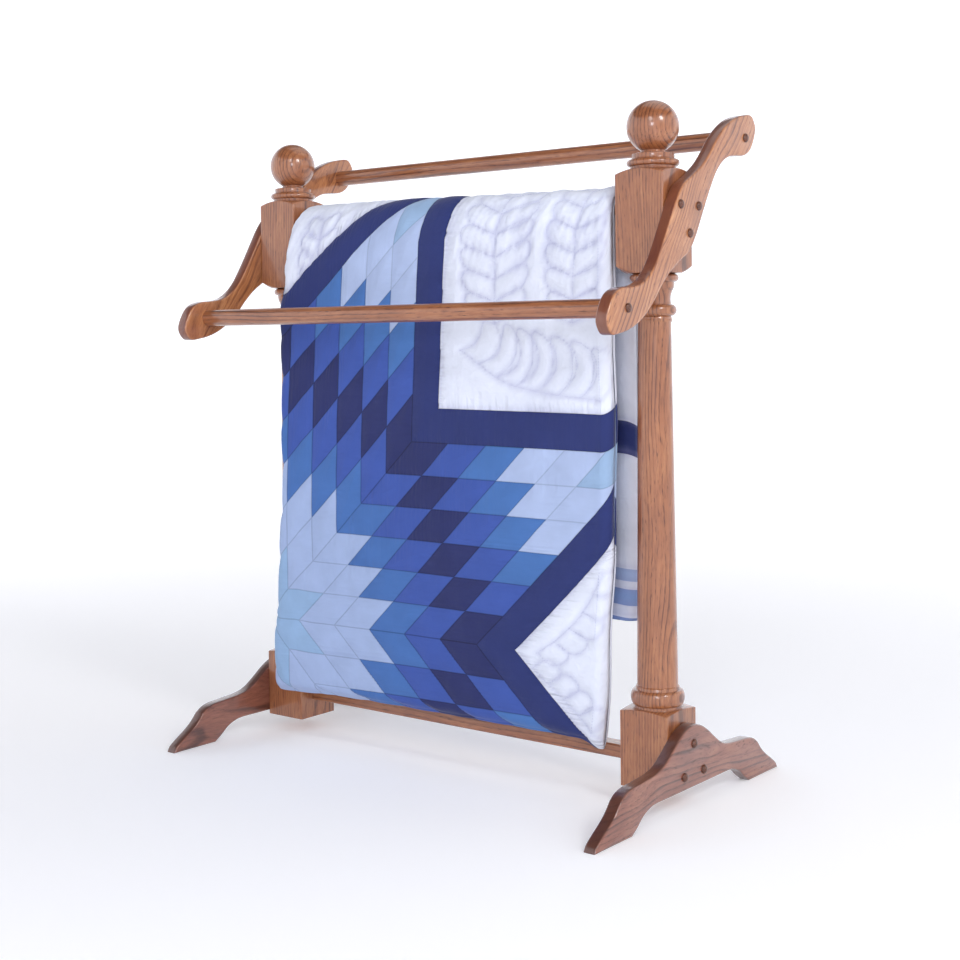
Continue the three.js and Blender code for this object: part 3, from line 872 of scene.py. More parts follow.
@dataclass(frozen=True)
class Patchwork:
    """Quilted cotton patchwork: matt cloth with a faint bloom of fibres, seams that sink with painted shade
    along them, painted lilac shade in the white ground's creases, and short puckers square to the seams where
    the stitching draws the cloth in."""

    pattern: StarPattern
    name: str = "patchwork_cotton"
    seam: float = 1.4  # how wide the dark line of a seam shows
    pucker: float = 7.5  # how far apart the puckers are
    thread: float = 1.4  # real threads are 0.3 mm; drawn wider so that they show

    def material(self) -> bpy.types.Material:
        """Builds the material from the piece's own flat places.

        Returns:
            The material.
        """
        pattern = self.pattern
        material, tree, shader = new_material(self.name)
        flat = add(tree, "ShaderNodeAttribute", attribute_name="flat").outputs["Vector"]
        mirrored = add(tree, "ShaderNodeVectorMath", {0: flat}, operation="ABSOLUTE")
        sides = add(tree, "ShaderNodeSeparateXYZ", {0: mirrored})
        p = add(tree, "ShaderNodeMath", {0: sides.outputs["X"], 1: sides.outputs["Y"]}, operation="MAXIMUM")
        r = add(tree, "ShaderNodeMath", {0: sides.outputs["X"], 1: sides.outputs["Y"]}, operation="MINIMUM")
        lead = add(tree, "ShaderNodeMath", {0: p, 1: r}, operation="SUBTRACT")
        i = add(tree, "ShaderNodeMath", {0: lead, 1: pattern.diamond * MM}, operation="DIVIDE")
        j = add(tree, "ShaderNodeMath", {0: r, 1: pattern.row * MM}, operation="DIVIDE")
        outer = add(tree, "ShaderNodeMath", {0: i, 1: j}, operation="MAXIMUM")

        whole_i = add(tree, "ShaderNodeMath", {0: i}, operation="FLOOR")
        whole_j = add(tree, "ShaderNodeMath", {0: j}, operation="FLOOR")
        ring = add(tree, "ShaderNodeMath", {0: whole_i, 1: whole_j}, operation="ADD")
        count = len(pattern.rings)
        share = add(tree, "ShaderNodeMath", {0: ring, 1: 1 / count, 2: 0.5 / count}, operation="MULTIPLY_ADD")
        patches = add(tree, "ShaderNodeValToRGB", {"Fac": share})
        paint_ramp(patches, [(k / count, linear(c)) for k, c in enumerate(pattern.rings)], step=True)

        in_band = add(tree, "ShaderNodeMath", {0: outer, 1: float(pattern.size)}, operation="GREATER_THAN")
        in_white = add(
            tree, "ShaderNodeMath", {0: outer, 1: float(pattern.size + 1)}, operation="GREATER_THAN"
        )
        with_band = add(
            tree, "ShaderNodeMix", {0: in_band, 6: patches, 7: linear(pattern.band)}, data_type="RGBA"
        )
        with_white = add(
            tree, "ShaderNodeMix", {0: in_white, 6: with_band, 7: linear(pattern.white)}, data_type="RGBA"
        )
        along = add(tree, "ShaderNodeSeparateXYZ", {0: flat}).outputs["Y"]
        along_share = add(
            tree, "ShaderNodeMath", {0: along, 1: 1 / (pattern.full_length * MM)}, operation="MULTIPLY"
        )
        borders = add(tree, "ShaderNodeValToRGB", {"Fac": along_share})
        paint_ramp(borders, [(w / pattern.full_length, linear(c)) for w, c in pattern.borders], step=True)
        past_block = add(tree, "ShaderNodeMath", {0: along, 1: pattern.block * MM}, operation="GREATER_THAN")
        cloth = add(tree, "ShaderNodeMix", {0: past_block, 6: with_white, 7: borders}, data_type="RGBA")

        near_i = add(tree, "ShaderNodeMath", {0: i, 1: 0.5}, operation="PINGPONG")
        near_j = add(tree, "ShaderNodeMath", {0: j, 1: 0.5}, operation="PINGPONG")
        inside = add(tree, "ShaderNodeMath", {0: near_i, 1: near_j}, operation="MINIMUM")
        held = add(
            tree,
            "ShaderNodeClamp",
            {"Value": outer, "Min": float(pattern.size), "Max": float(pattern.size + 1)},
        )
        band_near = add(tree, "ShaderNodeMath", {0: held, 1: 0.5}, operation="PINGPONG")
        past = add(tree, "ShaderNodeMath", {0: outer, 1: held}, operation="SUBTRACT")
        band_gap = add(tree, "ShaderNodeMath", {0: band_near, 1: past}, operation="ADD")
        gap = add(tree, "ShaderNodeMix", {0: in_band, 2: inside, 3: band_gap}, data_type="FLOAT")
        distance = add(tree, "ShaderNodeMath", {0: gap, 1: pattern.row * MM}, operation="MULTIPLY")
        far = add(tree, "ShaderNodeMath", {0: distance, 1: past_block}, operation="ADD")
        # painted shade along the seams: the cloth is darkened close to each seam, more on dark patches than
        # on pale ones
        pale = add(tree, "ShaderNodeRGBToBW", {0: cloth})
        depth = add(
            tree, "ShaderNodeMapRange", {"Value": pale, "From Max": 0.5, "To Min": 0.52, "To Max": 0.8}
        )
        line = add(
            tree,
            "ShaderNodeMapRange",
            {"Value": far, "From Min": 0.3 * self.seam * MM, "From Max": self.seam * MM, "To Min": depth},
        )
        seam_painted_shade = add(tree, "ShaderNodeVectorMath", {0: cloth, "Scale": line}, operation="SCALE")
        # random blotches, a little lighter and darker, across the cloth
        patchy = add(tree, "ShaderNodeTexNoise", {"Vector": flat, "Scale": 22.0, "Detail": 3.0})
        blotchy_tone = add(tree, "ShaderNodeMapRange", {"Value": patchy, "To Min": 0.86, "To Max": 1.12})
        shade = add(tree, "ShaderNodeVectorMath", {0: seam_painted_shade, "Scale": blotchy_tone}, operation="SCALE")
        # painted shade: where the relief sinks, the white ground is tinted lilac for the shade in its creases
        # and along its quilting; the star's patches are left plain
        crease_shade = add(tree, "ShaderNodeAttribute", attribute_name="crease_shade").outputs["Fac"]
        on_white = add(tree, "ShaderNodeMath", {0: in_white, 1: past_block}, operation="MAXIMUM")
        ground = add(tree, "ShaderNodeMapRange", {"Value": on_white, "To Min": 0.3, "To Max": 1.0})
        deep = add(tree, "ShaderNodeMath", {0: crease_shade, 1: ground}, operation="MULTIPLY")
        shade_strength = add(tree, "ShaderNodeMath", {0: deep, 1: 0.5}, operation="MULTIPLY")
        shadowed = add(tree, "ShaderNodeMix", {0: shade_strength, 6: shade, 7: linear("#8f8fbd")}, data_type="RGBA")
        in_star = add(tree, "ShaderNodeMath", {0: 1.0, 1: on_white}, operation="SUBTRACT")
        colour = add(tree, "ShaderNodeMix", {0: in_star, 6: shadowed, 7: shade}, data_type="RGBA")

        drawn_in = add(
            tree,
            "ShaderNodeMapRange",
            {"Value": far, "From Min": 0.0, "From Max": 26 * MM, "To Min": 1.0, "To Max": 0.0},
        )
        level = add(tree, "ShaderNodeCombineXYZ", {"X": p, "Y": distance})
        slant = add(tree, "ShaderNodeCombineXYZ", {"X": r, "Y": distance})
        thin, long = 1 / (self.pucker * MM), 1 / (60 * MM)
        level_space = add(tree, "ShaderNodeMapping", {"Vector": level, "Scale": (thin, long, 1.0)})
        slant_space = add(tree, "ShaderNodeMapping", {"Vector": slant, "Scale": (1.4 * thin, long, 1.0)})
        level_folds = add(tree, "ShaderNodeTexNoise", {"Vector": level_space, "Scale": 1.0, "Detail": 1.0})
        slant_folds = add(tree, "ShaderNodeTexNoise", {"Vector": slant_space, "Scale": 1.0, "Detail": 1.0})
        nearer = add(tree, "ShaderNodeMath", {0: j, 1: i}, operation="GREATER_THAN")
        folds = add(tree, "ShaderNodeMix", {0: nearer, 2: slant_folds, 3: level_folds}, data_type="FLOAT")
        puckers = add(tree, "ShaderNodeMath", {0: folds, 1: drawn_in}, operation="MULTIPLY")
        creases = add(
            tree, "ShaderNodeTexNoise", {"Vector": flat, "Scale": 70.0, "Detail": 3.0, "Distortion": 0.6}
        )
        both = add(tree, "ShaderNodeMath", {0: creases, 1: 0.3, 2: puckers}, operation="MULTIPLY_ADD")
        height = add(tree, "ShaderNodeMath", {0: both, 1: ground}, operation="MULTIPLY")
        soft = add(tree, "ShaderNodeBump", {"Height": height, "Strength": 1.0, "Distance": 7.0 * MM})
        weave_space = add(
            tree, "ShaderNodeMapping", {"Vector": flat, "Scale": (1 / (self.thread * MM),) * 2 + (1.0,)}
        )
        weave = add(tree, "ShaderNodeTexNoise", {"Vector": weave_space, "Scale": 1.0, "Detail": 0.0})
        cloth_bump = add(
            tree, "ShaderNodeBump", {"Height": weave, "Strength": 0.2, "Distance": 0.3 * MM, "Normal": soft}
        )
        wire(shader, {"Base Color": colour, "Normal": cloth_bump, "Roughness": 0.78, "IOR": 1.45})
        wire(shader, {"Specular IOR Level": 0.35, "Sheen Weight": 0.1, "Sheen Roughness": 0.5})
        return material


@dataclass(frozen=True)
class PlainCotton:
    """Plain white cotton: the quilt's backing, and its quilting thread."""

    name: str
    colour: str = "#dcdfee"
    roughness: float = 0.85

    def material(self) -> bpy.types.Material:
        """Builds the material.

        Returns:
            The material, faintly uneven like washed cloth.
        """
        material, tree, shader = new_material(self.name)
        place = add(tree, "ShaderNodeTexCoord").outputs["Object"]
        cloud = add(tree, "ShaderNodeTexNoise", {"Vector": place, "Scale": 60.0, "Detail": 3.0})
        tone = add(tree, "ShaderNodeMapRange", {"Value": cloud, "To Min": 0.9, "To Max": 1.08})
        base = add(tree, "ShaderNodeRGB")
        base.outputs[0].default_value = linear(self.colour)
        shade = add(tree, "ShaderNodeVectorMath", {0: base.outputs[0], "Scale": tone}, operation="SCALE")
        dent = add(tree, "ShaderNodeBump", {"Height": cloud, "Strength": 0.3, "Distance": 1.0 * MM})
        wire(shader, {"Base Color": shade, "Normal": dent, "Roughness": self.roughness, "Sheen Weight": 0.2})
        return material


# ---- Quilt: the quilting lines ------------------------------------------------------------------
@dataclass(frozen=True)
class Feather:
    """A quilted feather: a spine with a row of plumes on one or both sides, in flat places."""

    spine: tuple[tuple[float, float], ...]
    plumes: int
    longest: float
    shortest: float
    lean: float = 0.55  # how far the plumes lean towards the spine's end
    sides: tuple[int, ...] = (-1, 1)
    bow: float = 0.0  # how far the plumes bulge that way half way up, for their length

    def lines(self) -> list[Points]:
        """The feather's stitching lines.

        Returns:
            Lines of flat places: the spine, then each plume.
        """
        spine = spline(list(self.spine), 3.0)
        steps = np.linalg.norm(np.diff(spine, axis=0), axis=1)
        travelled = np.concatenate([[0], np.cumsum(steps)])
        found = [spine]
        for side in self.sides:
            for k in range(self.plumes):
                ends = travelled[-1] * np.array([k, k + 1]) / self.plumes
                base = np.column_stack([np.interp(ends, travelled, spine[:, a]) for a in (0, 1)])
                along = base[1] - base[0]
                width = float(np.linalg.norm(along))
                along /= width
                out = np.array([-along[1], along[0]]) * side
                way = (out + along * self.lean) / math.hypot(1, self.lean)
                share = math.sin(math.pi * (k + 0.8) / (self.plumes + 0.6))
                length = self.shortest + (self.longest - self.shortest) * share
                turns = math.pi / 2 * (1 - np.cos(np.linspace(0, math.pi, 40)))[:, None]
                middle = (base[0] + base[1]) / 2
                up = np.sin(turns) ** 0.6
                rise = way * length * up + along * length * self.bow * 4 * up * (1 - up)
                found.append(middle + rise - along * width * 0.5 * np.cos(turns) * (1 + 0.5 * np.sin(turns)))
        return found


@dataclass(frozen=True)
class Quilting:
    """Every line of hand quilting on the white ground, which a plain patch has none of."""

    pattern: StarPattern
    seam_gap: float = 5.0  # how near a seam the lines stop
    feathers: tuple[Feather, ...] = (
        Feather(((438, 462), (434, 540), (432, 610), (438, 690)), 7, 68, 54, 0.4),
        Feather(
            ((378, 424), (412, 404), (448, 384), (484, 373), (548, 364), (628, 358)),
            7, 80, 62, 0.0, (1,), 0.3,
        ),
        Feather(((572, 462), (570, 560), (574, 690)), 7, 54, 44, 0.4),
        Feather(((520, 0), (560, 30), (600, 72), (636, 128)), 5, 44, 30, 0.4, (-1,)),
        Feather(((512, -24), (560, -62), (600, -96), (640, -126)), 5, 40, 30, 0.3, (1,)),
        Feather(((60, 470), (92, 540), (84, 640)), 5, 44, 26),
        Feather(((400, 800), (520, 820), (600, 790)), 7, 58, 34),
        Feather(((60, 820), (180, 850), (300, 820)), 8, 58, 34),
        Feather(((60, 1160), (220, 1180), (400, 1150), (600, 1170)), 15, 52, 38),
        Feather(((60, 930), (220, 945), (400, 925), (600, 940)), 15, 36, 30),
    )

    def lines(self) -> list[Points]:
        """All the lines, cut where they leave the white ground.

        Returns:
            Lines of flat places.
        """
        kept = []
        for feather in self.feathers:
            for line in feather.lines():
                u, w = line.T
                clear = self.pattern.in_white(u, w) & (self.pattern.to_seam(u, w) > self.seam_gap)
                runs = np.split(np.arange(len(line)), np.flatnonzero(np.diff(clear.astype(int))) + 1)
                kept += [line[run] for run in runs if clear[run[0]] and len(run) > 3]
        return kept


# ---- Quilt: the shape ---------------------------------------------------------------------------
@dataclass
class Quilt:
    """The quilt, folded to four layers and hung over its rail: one sheet that goes down the outside,
    rolls under at the bottom of the front, and comes up again inside, folded shut at its left."""

    pattern: StarPattern = field(default_factory=StarPattern)
    half_width: float = 302.5
    right: float = 299.5
    rail_skin: float = 13.0  # the rail's radius and the gap that touching pieces keep
    over_rail: float = 23.0
    front_hem: float = 78.0
    back_hem: float = 240.0
    thickness: float = 32.0
    star_x: float = -343.5
    star_z: float = 200.5
    left_cap: float = 20.0
    right_cap: float = 14.0
    roll: float = 19.0  # the radius of the roll under at the bottom of the front
    fine: float = 4.5
    puff: float = 4.4
    deepest: float = 0.2  # how far the relief may sink, as a share of the bundle's thickness there
    pull: float = 32.0  # how far the cloth is pulled to the right where it goes over the rail
    lift: float = 7.0  # how far the cloth is drawn up half way down the front
    thin: float = 9.0  # how much lower the ridge lies at the right, where fewer folds bunch
    bulk: float = 25.0  # how much thicker the bundle is at its folded left end
    bulk_reach: float = 150.0  # how soon that fades to the right
    bulk_drop: float = 67.0  # how much lower the shoulder ends there
    shoulder: float = 60.0
    drawn_off: float = 28.0  # how far the folded end stands off the rail's plane
    pressed: tuple[float, float] = (17.0, 40.0)  # where that starts to fade, and how soon
    front_taper: float = 12.0
    back_taper: float = 16.0
    droop: float = 11.0  # how much lower the front's right corner hangs
    droop_at: tuple[float, float] = (235.0, 40.0)  # where that starts, and over what width
    thinning: tuple[float, float] = (-150.0, 420.0)  # the same for the lower ridge
    seam_reach: float = 7.0  # how far from a seam the cloth is drawn down
    stitch_reach: float = 4.5  # the same for a line of quilting
    lining_depth: float = 0.47  # how deep in the bundle the inner skin lies, where 0.5 is the middle
    rail_z: float = field(init=False)

    def __post_init__(self) -> None:
        """Takes the rail's height from its CAD node."""
        low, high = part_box("quilt_rail")
        self.rail_z = (low.z + high.z) / 2 / MM

    def sides(self, height: Points, front: Points) -> tuple[Points, Points]:
        """How far the quilt reaches at each side.

        Args:
            height: Heights above the floor.
            front: True where the place is on the front half.

        Returns:
            The left and right ends, in X.
        """
        left = np.interp(height, [180, 320, 499, 700, 765, 800], [-335.5, -322, -311.6, -311, -309.5, -302.5])
        right = np.interp(height, [78, 142, 210, 279, 388, 443, 640], [278, 283, 288, 291, 297, 299.5, 299.5])
        wavy = 1.2 * np.sin(height / 31) * np.clip((760 - height) / 100, 0, 1)
        return (
            np.where(front, left + wavy, -self.half_width),
            np.where(front, right - 1.3 * wavy, self.right),
        )

    def faces(self, x: Points, front: Points) -> tuple[Points, Points, Points]:
        """The bundle's section at a place along the rail.

        Args:
            x: Places along the rail.
            front: True on the front half.

        Returns:
            How far out its inner and outer faces hang, and how far its shoulder drops.
        """
        from_fold = np.maximum(0, x + self.half_width)
        bulk = np.exp(-from_fold / self.bulk_reach)
        pressed = np.exp(-np.maximum(0, from_fold - self.pressed[0]) / self.pressed[1])
        taper = (self.half_width - x) / (2 * self.half_width)
        skin = self.rail_skin
        near = np.where(front, skin + self.drawn_off * pressed, skin)
        wedge = np.where(front, self.front_taper * taper + self.bulk * bulk, self.back_taper * taper)
        drop = np.where(front, self.shoulder + self.bulk_drop * bulk, self.shoulder)
        return near, skin + self.thickness + wedge, drop

    def hem(self, x: Points, front: Points) -> Points:
        """The hem's height; the front's right corner droops."""
        droop = self.droop * eased((x - self.droop_at[0]) / self.droop_at[1])
        return np.where(front, self.front_hem - droop, self.back_hem)

    def place(self, x: Points, drop: Points, front: Points, depth: Points) -> Points:
        """A point of the bundle.

        Args:
            x: Places along the rail.
            drop: 0 at the ridge, 1 where the shoulder ends, 2 at the hem.
            front: True on the front half.
            depth: 0 on the rail's side to 1 outside.

        Returns:
            Points in millimetres, X, Y and Z last.
        """
        near, far, shoulder = self.faces(x, front)
        turn = np.clip(drop, 0, 1) * math.pi / 2
        hung = np.clip(drop - 1, 0, 1)
        hem = self.hem(x, front)
        fewer = self.thin * np.clip((x - self.thinning[0]) / self.thinning[1], 0, 1)
        ridge = self.rail_z + self.rail_skin + self.over_rail - fewer
        height = self.rail_z + (hem - self.rail_z) * hung
        leaving = eased((self.rail_z - height) / 50)  # the inner face leaves the rail over 50 mm of drop
        near_y = (self.rail_skin + (near - self.rail_skin) * leaving) * np.sin(turn)
        near_z = np.where(hung > 0, height, self.rail_z + self.rail_skin * np.cos(turn))
        outer_start = ridge - shoulder
        rounded = ridge - shoulder * (1 - np.cos(turn))
        far_z = np.where(hung > 0, outer_start + (hem - outer_start) * hung, rounded)
        far_y = far * np.sin(turn) ** 0.85  # a little squarer than an ellipse
        above = np.where(front, far_z - hem, self.roll)  # only the front rolls under
        rolled = np.sqrt(np.clip(1 - ((self.roll - np.clip(above, 0, self.roll)) / self.roll) ** 2, 0.12, 1))
        squeezed = 0.5 + (depth - 0.5) * rolled
        sway = 2.2 * np.sin(x / 95 + 0.6) * np.sin(height / 210) * hung  # the hang's long soft waves
        y = near_y + (far_y - near_y) * squeezed + np.where(front, sway, -sway)
        z = near_z + (far_z - near_z) * squeezed
        return np.stack(np.broadcast_arrays(x, np.where(front, -y, y), z), axis=-1)

    def columns(self) -> tuple[Points, Points, Points]:
        """The sheet's columns round the bundle, from its right edge in front round to the same behind.

        Returns:
            For each column: its share of the flat face's width, its depth, and how far round a cap it
            lies, which is 0 on a face, negative on the left cap and positive on the right one.
        """
        width = self.right + self.half_width - self.left_cap - self.right_cap
        wide = round(width / self.fine)
        coarse = round(width / 22)
        quarter = np.linspace(math.pi / 2 - 0.06, 0, 5)[:-1]
        half = np.linspace(0, math.pi, 12)[1:-1]
        leftwards, rightwards = np.linspace(1, 0, wide + 1), np.linspace(0, 1, coarse + 1)
        share = [np.ones(4), leftwards, np.zeros(len(half)), rightwards, np.ones(4)]
        depth = [
            (1 + np.cos(quarter)) / 2, np.ones(wide + 1), (1 + np.cos(half)) / 2, np.zeros(coarse + 1),
            (1 - np.cos(quarter[::-1])) / 2,
        ]
        cap = [quarter, np.zeros(wide + 1), -half, np.zeros(coarse + 1), math.pi - quarter[::-1]]
        return np.concatenate(share), np.concatenate(depth), np.concatenate(cap)

    def rows(self) -> tuple[Points, Points]:
        """The sheet's rows from the back hem over the ridge to the front one.

        Returns:
            Each row's drop, and whether it is on the front half.
        """
        straight = (self.rail_z - self.back_hem) / self.fine
        back = np.concatenate([np.linspace(2, 1, round(straight)), np.linspace(1, 0, 26)[1:]])
        ahead = (self.rail_z - self.front_hem) / self.fine
        rolled = 2 - np.linspace(self.roll, 0, 9)[1:] / (self.rail_z - self.front_hem)
        hung = np.linspace(1, 2 - self.roll / (self.rail_z - self.front_hem), round(ahead))
        front = np.concatenate([np.linspace(0, 1, 34)[1:], hung[1:], rolled])
        return np.concatenate([back, front]), np.repeat([False, True], [len(back), len(front)])

    def layer(self, drop: Points, front: Points, inset: float) -> Points:
        """One skin of a layer, as a grid of rows and columns.

        Args:
            drop: The rows' drops.
            front: Which rows are on the front half.
            inset: How deep in the bundle the skin lies, 0 outside to 0.5 in the middle.

        Returns:
            Points, rows first, then columns.
        """
        share, depth, cap = self.columns()
        drops, fronts = drop[:, None], front[:, None]
        height = np.where(drops > 1, self.rail_z + (self.front_hem - self.rail_z) * (drops - 1), self.rail_z)
        left, right = self.sides(height, fronts)
        left, right = left + self.left_cap, right - self.right_cap
        reach = np.where(cap < 0, self.left_cap, self.right_cap) * np.sin(cap) * (1 - 2 * inset)
        x = left + (right - left) * share + reach
        squeezed = 0.5 + (depth - 0.5) * (1 - 2 * inset)
        return self.place(x, drops, fronts, np.broadcast_to(squeezed, x.shape))

    def flat_places(self, drop: Points, front: Points, points: Points) -> Points:
        """The flat places of a skin: arc lengths across and along the cloth.

        Args:
            drop: The rows' drops.
            front: Which rows are on the front half.
            points: The outer skin's points.

        Returns:
            Rows of columns of (u, w, 0).
        """
        share, depth, cap = self.columns()
        outer = self.place(points[..., 0], drop[:, None], front[:, None], np.ones(points.shape[:2]))
        steps = np.linalg.norm(np.diff(outer[..., 1:], axis=0), axis=-1)
        from_hem = np.concatenate([np.cumsum(steps[::-1], axis=0)[::-1], np.zeros((1, points.shape[1]))])
        x = points[..., 0]
        w = from_hem + self.hem(x[-1:], True) - self.star_z
        # towards the right the rows run a little higher on the front, but not at its hem or its ridge
        sag = 0.02 * np.maximum(0, x + 200) * np.clip((outer[..., 2] - 100) / 140, 0, 1)
        w = w + sag * np.clip((800 - outer[..., 2]) / 300, 0, 1) * front[:, None]
        steps = np.linalg.norm(np.diff(points, axis=1), axis=-1)
        across = np.concatenate([np.zeros((points.shape[0], 1)), np.cumsum(steps, axis=1)], axis=1)
        fold = int(np.flatnonzero((share == 0) & (cap == 0) & (depth == 1))[0])
        u = (x[:, fold : fold + 1] - self.star_x) + (across[:, fold : fold + 1] - across)
        u = u - self.pull * np.clip((w - 180) / 480, 0, 1) ** 1.3
        w = w - self.lift * np.exp(-(((w - 420) / 130) ** 2))
        return np.stack([u, w, np.zeros_like(u)], axis=-1)

    def relief(self, flat: Points) -> Points:
        """How far the cloth sinks below its fullest: at seams and quilting lines, and in wrinkles.

        Args:
            flat: Flat places.

        Returns:
            Depths in millimetres.
        """
        u, w = flat[..., 0], flat[..., 1]
        white = self.pattern.in_white(u, w)
        seam = np.exp(-self.pattern.to_seam(u, w) / self.seam_reach) * self.puff * np.where(white, 1.1, 0.75)
        samples = np.concatenate(Quilting(self.pattern).lines())
        tree = KDTree(len(samples))
        for index, (a, b) in enumerate(samples):
            tree.insert((a, b, 0), index)
        tree.balance()
        stitched = np.full(u.shape, 99.0)
        wrinkled = np.zeros(u.shape)
        folded = np.zeros(u.shape)
        for place in zip(*np.nonzero(np.ones(u.shape, bool))):
            a, b = u[place], w[place]
            if white[place]:
                stitched[place] = tree.find((a, b, 0))[2]
            # soft wrinkles, long down the hang and short across it
            wrinkled[place] = noise.noise((a / 26, b / 110, 3.0)) + 0.5 * noise.noise((a / 60, b / 34, 9.0))
            # narrow folds that lean with the pull towards the rail
            slant = a - 0.22 * (b - 560)
            folded[place] = 1 - abs(noise.noise((slant / 13, b / 95, 21.0))) * 3.2
        quilted = np.exp(-stitched / self.stitch_reach) * self.puff * 1.15
        over_rail = np.clip((w - 480) / 120, 0, 1) * np.clip((900 - w) / 150, 0, 1)
        drawn = np.clip(folded, 0, 1) * np.where(white, 2.2 * over_rail + 0.4, 0.35)
        return np.maximum(seam, quilted) + np.where(white, 1.3, 1.0) * (0.6 - wrinkled) + drawn

    def build(
        self, cloth: bpy.types.Material, backing: bpy.types.Material
    ) -> tuple[bpy.types.Object, Points, Points]:
        """Builds the quilt as one closed sheet.

        Args:
            cloth: The patchwork side.
            backing: The plain side.

        Returns:
            The dressed piece, and the outer skin's points and flat places.
        """
        drop, front = self.rows()
        sparse = np.unique(np.concatenate([np.arange(0, len(drop), 14), [len(drop) - 1]]))
        outer = self.layer(drop, front, 0.0)
        flat = self.flat_places(drop, front, outer)
        down = np.gradient(outer, axis=0)
        round_it = np.gradient(outer, axis=1)
        normal = np.cross(round_it, down)
        normal /= np.maximum(np.linalg.norm(normal, axis=-1, keepdims=True), 1e-9)
        sunk = self.relief(flat)
        share, _, cap = self.columns()
        kept = np.where(cap > 0, 0.12, np.clip((1 - share) * self.right / 5, 0.12, 1))
        x, falls, fronts = outer[..., 0], drop[:, None], front[:, None]
        ends = [self.place(x, falls, fronts, np.full(x.shape, depth)) for depth in (0.0, 1.0)]
        most = self.deepest * np.linalg.norm(ends[1] - ends[0], axis=-1)
        sunk = most * np.tanh(sunk / most)
        outer = outer - normal * (sunk * kept)[..., None]

        lip = [self.lip(outer[-1], flat[-1], angle) for angle in np.linspace(0, math.pi, 6)[1:-1]]
        inner = self.layer(drop[sparse], front[sparse], self.lining_depth)[::-1]
        inner_flat = flat[sparse][::-1] * (1, -1, 1) + (0, 2 * float(flat[-1, 0, 1]), 0)
        face = np.concatenate([outer, np.array([points for points, _ in lip]), inner])
        face_flat = np.concatenate([flat, np.array([places for _, places in lip]), inner_flat])
        skins = [self.layer(drop[sparse], front[sparse], inset) for inset in (0.235, 0.265)]
        lining = np.concatenate([skins[0], skins[1][::-1]])

        wide = outer.shape[1]
        matches = [(int(row), k) for k, row in enumerate(sparse)]
        turn = len(drop) + len(lip)
        matches += [(turn + k, len(sparse) + k) for k in range(len(sparse))]
        faces = self.grid(0, len(face), wide)
        start = len(face) * wide
        faces += [tuple(reversed(f)) for f in self.grid(start, len(lining), wide)]
        patchwork = len(self.grid(0, len(face), wide))
        for column, way in ((0, 1), (wide - 1, -1)):
            for (a, c), (b, d) in zip(matches, matches[1:]):
                edge = [row * wide + column for row in range(a, b + 1)]
                across = (start + c * wide + column, start + d * wide + column)
                fans = [(across[0], edge[k + 1], edge[k]) for k in range(len(edge) - 1)]
                fans.append((across[0], across[1], edge[-1]))
                faces += [f if way > 0 else tuple(reversed(f)) for f in fans]
        for row, other, way in ((0, 0, 1), (len(face) - 1, len(lining) - 1, -1)):
            for k in range(wide - 1):
                a, b = row * wide + k, row * wide + k + 1
                c, d = start + other * wide + k, start + other * wide + k + 1
                faces.append((a, b, d, c) if way > 0 else (c, d, b, a))
        vertices = np.concatenate([face.reshape(-1, 3), lining.reshape(-1, 3)])
        piece = new_object("quilt_patchwork", vertices, faces)
        mesh = piece.data
        mesh.materials.append(cloth)
        mesh.materials.append(backing)
        index = np.zeros(len(mesh.polygons), np.int32)
        index[patchwork : patchwork + len(self.grid(0, len(lining), wide))] = 1
        mesh.polygons.foreach_set("material_index", index)
        places = np.concatenate([face_flat.reshape(-1, 3), np.zeros((len(lining) * wide, 3))]) * MM
        attribute = mesh.attributes.new("flat", "FLOAT_VECTOR", "POINT")
        attribute.data.foreach_set("vector", places.astype(np.float32).ravel())
        # how far the relief sinks, which the material turns into painted lilac shade in the creases
        crease_shade = np.zeros(len(vertices), np.float32)
        crease_shade[: sunk.size] = np.clip((sunk.ravel() - 2.2) / self.puff, 0, 1)
        mesh.attributes.new("crease_shade", "FLOAT", "POINT").data.foreach_set("value", crease_shade)
        dress(piece, cloth, ["quilt"])
        return piece, outer, flat

    def lip(self, points: Points, flat: Points, angle: float) -> tuple[Points, Points]:
        """A row of the narrow turn from the outer layer to the inner one at the bottom of the front.

        Args:
            points: The outer skin's last row.
            flat: Its flat places.
            angle: How far round the turn, up to half a circle.

        Returns:
            The row's points and flat places.
        """
        last = self.rows()[0][-1:]
        inner = self.layer(last, np.array([True]), self.lining_depth)[0]
        share = (1 - math.cos(angle)) / 2
        fall = np.array([0, 0, -2.2 * math.sin(angle)])
        return points + (inner - points) * share + fall, flat - (0, 4 * angle, 0)

    @staticmethod
    def grid(start: int, rows: int, columns: int) -> list[tuple[int, int, int, int]]:
        """The faces of a grid of points, outwards.

        Args:
            start: The first point's number.
            rows: How many rows.
            columns: How many columns.

        Returns:
            The faces.
        """
        first = [start + r * columns + c for r in range(rows - 1) for c in range(columns - 1)]
        return [(a, a + columns, a + columns + 1, a + 1) for a in first]


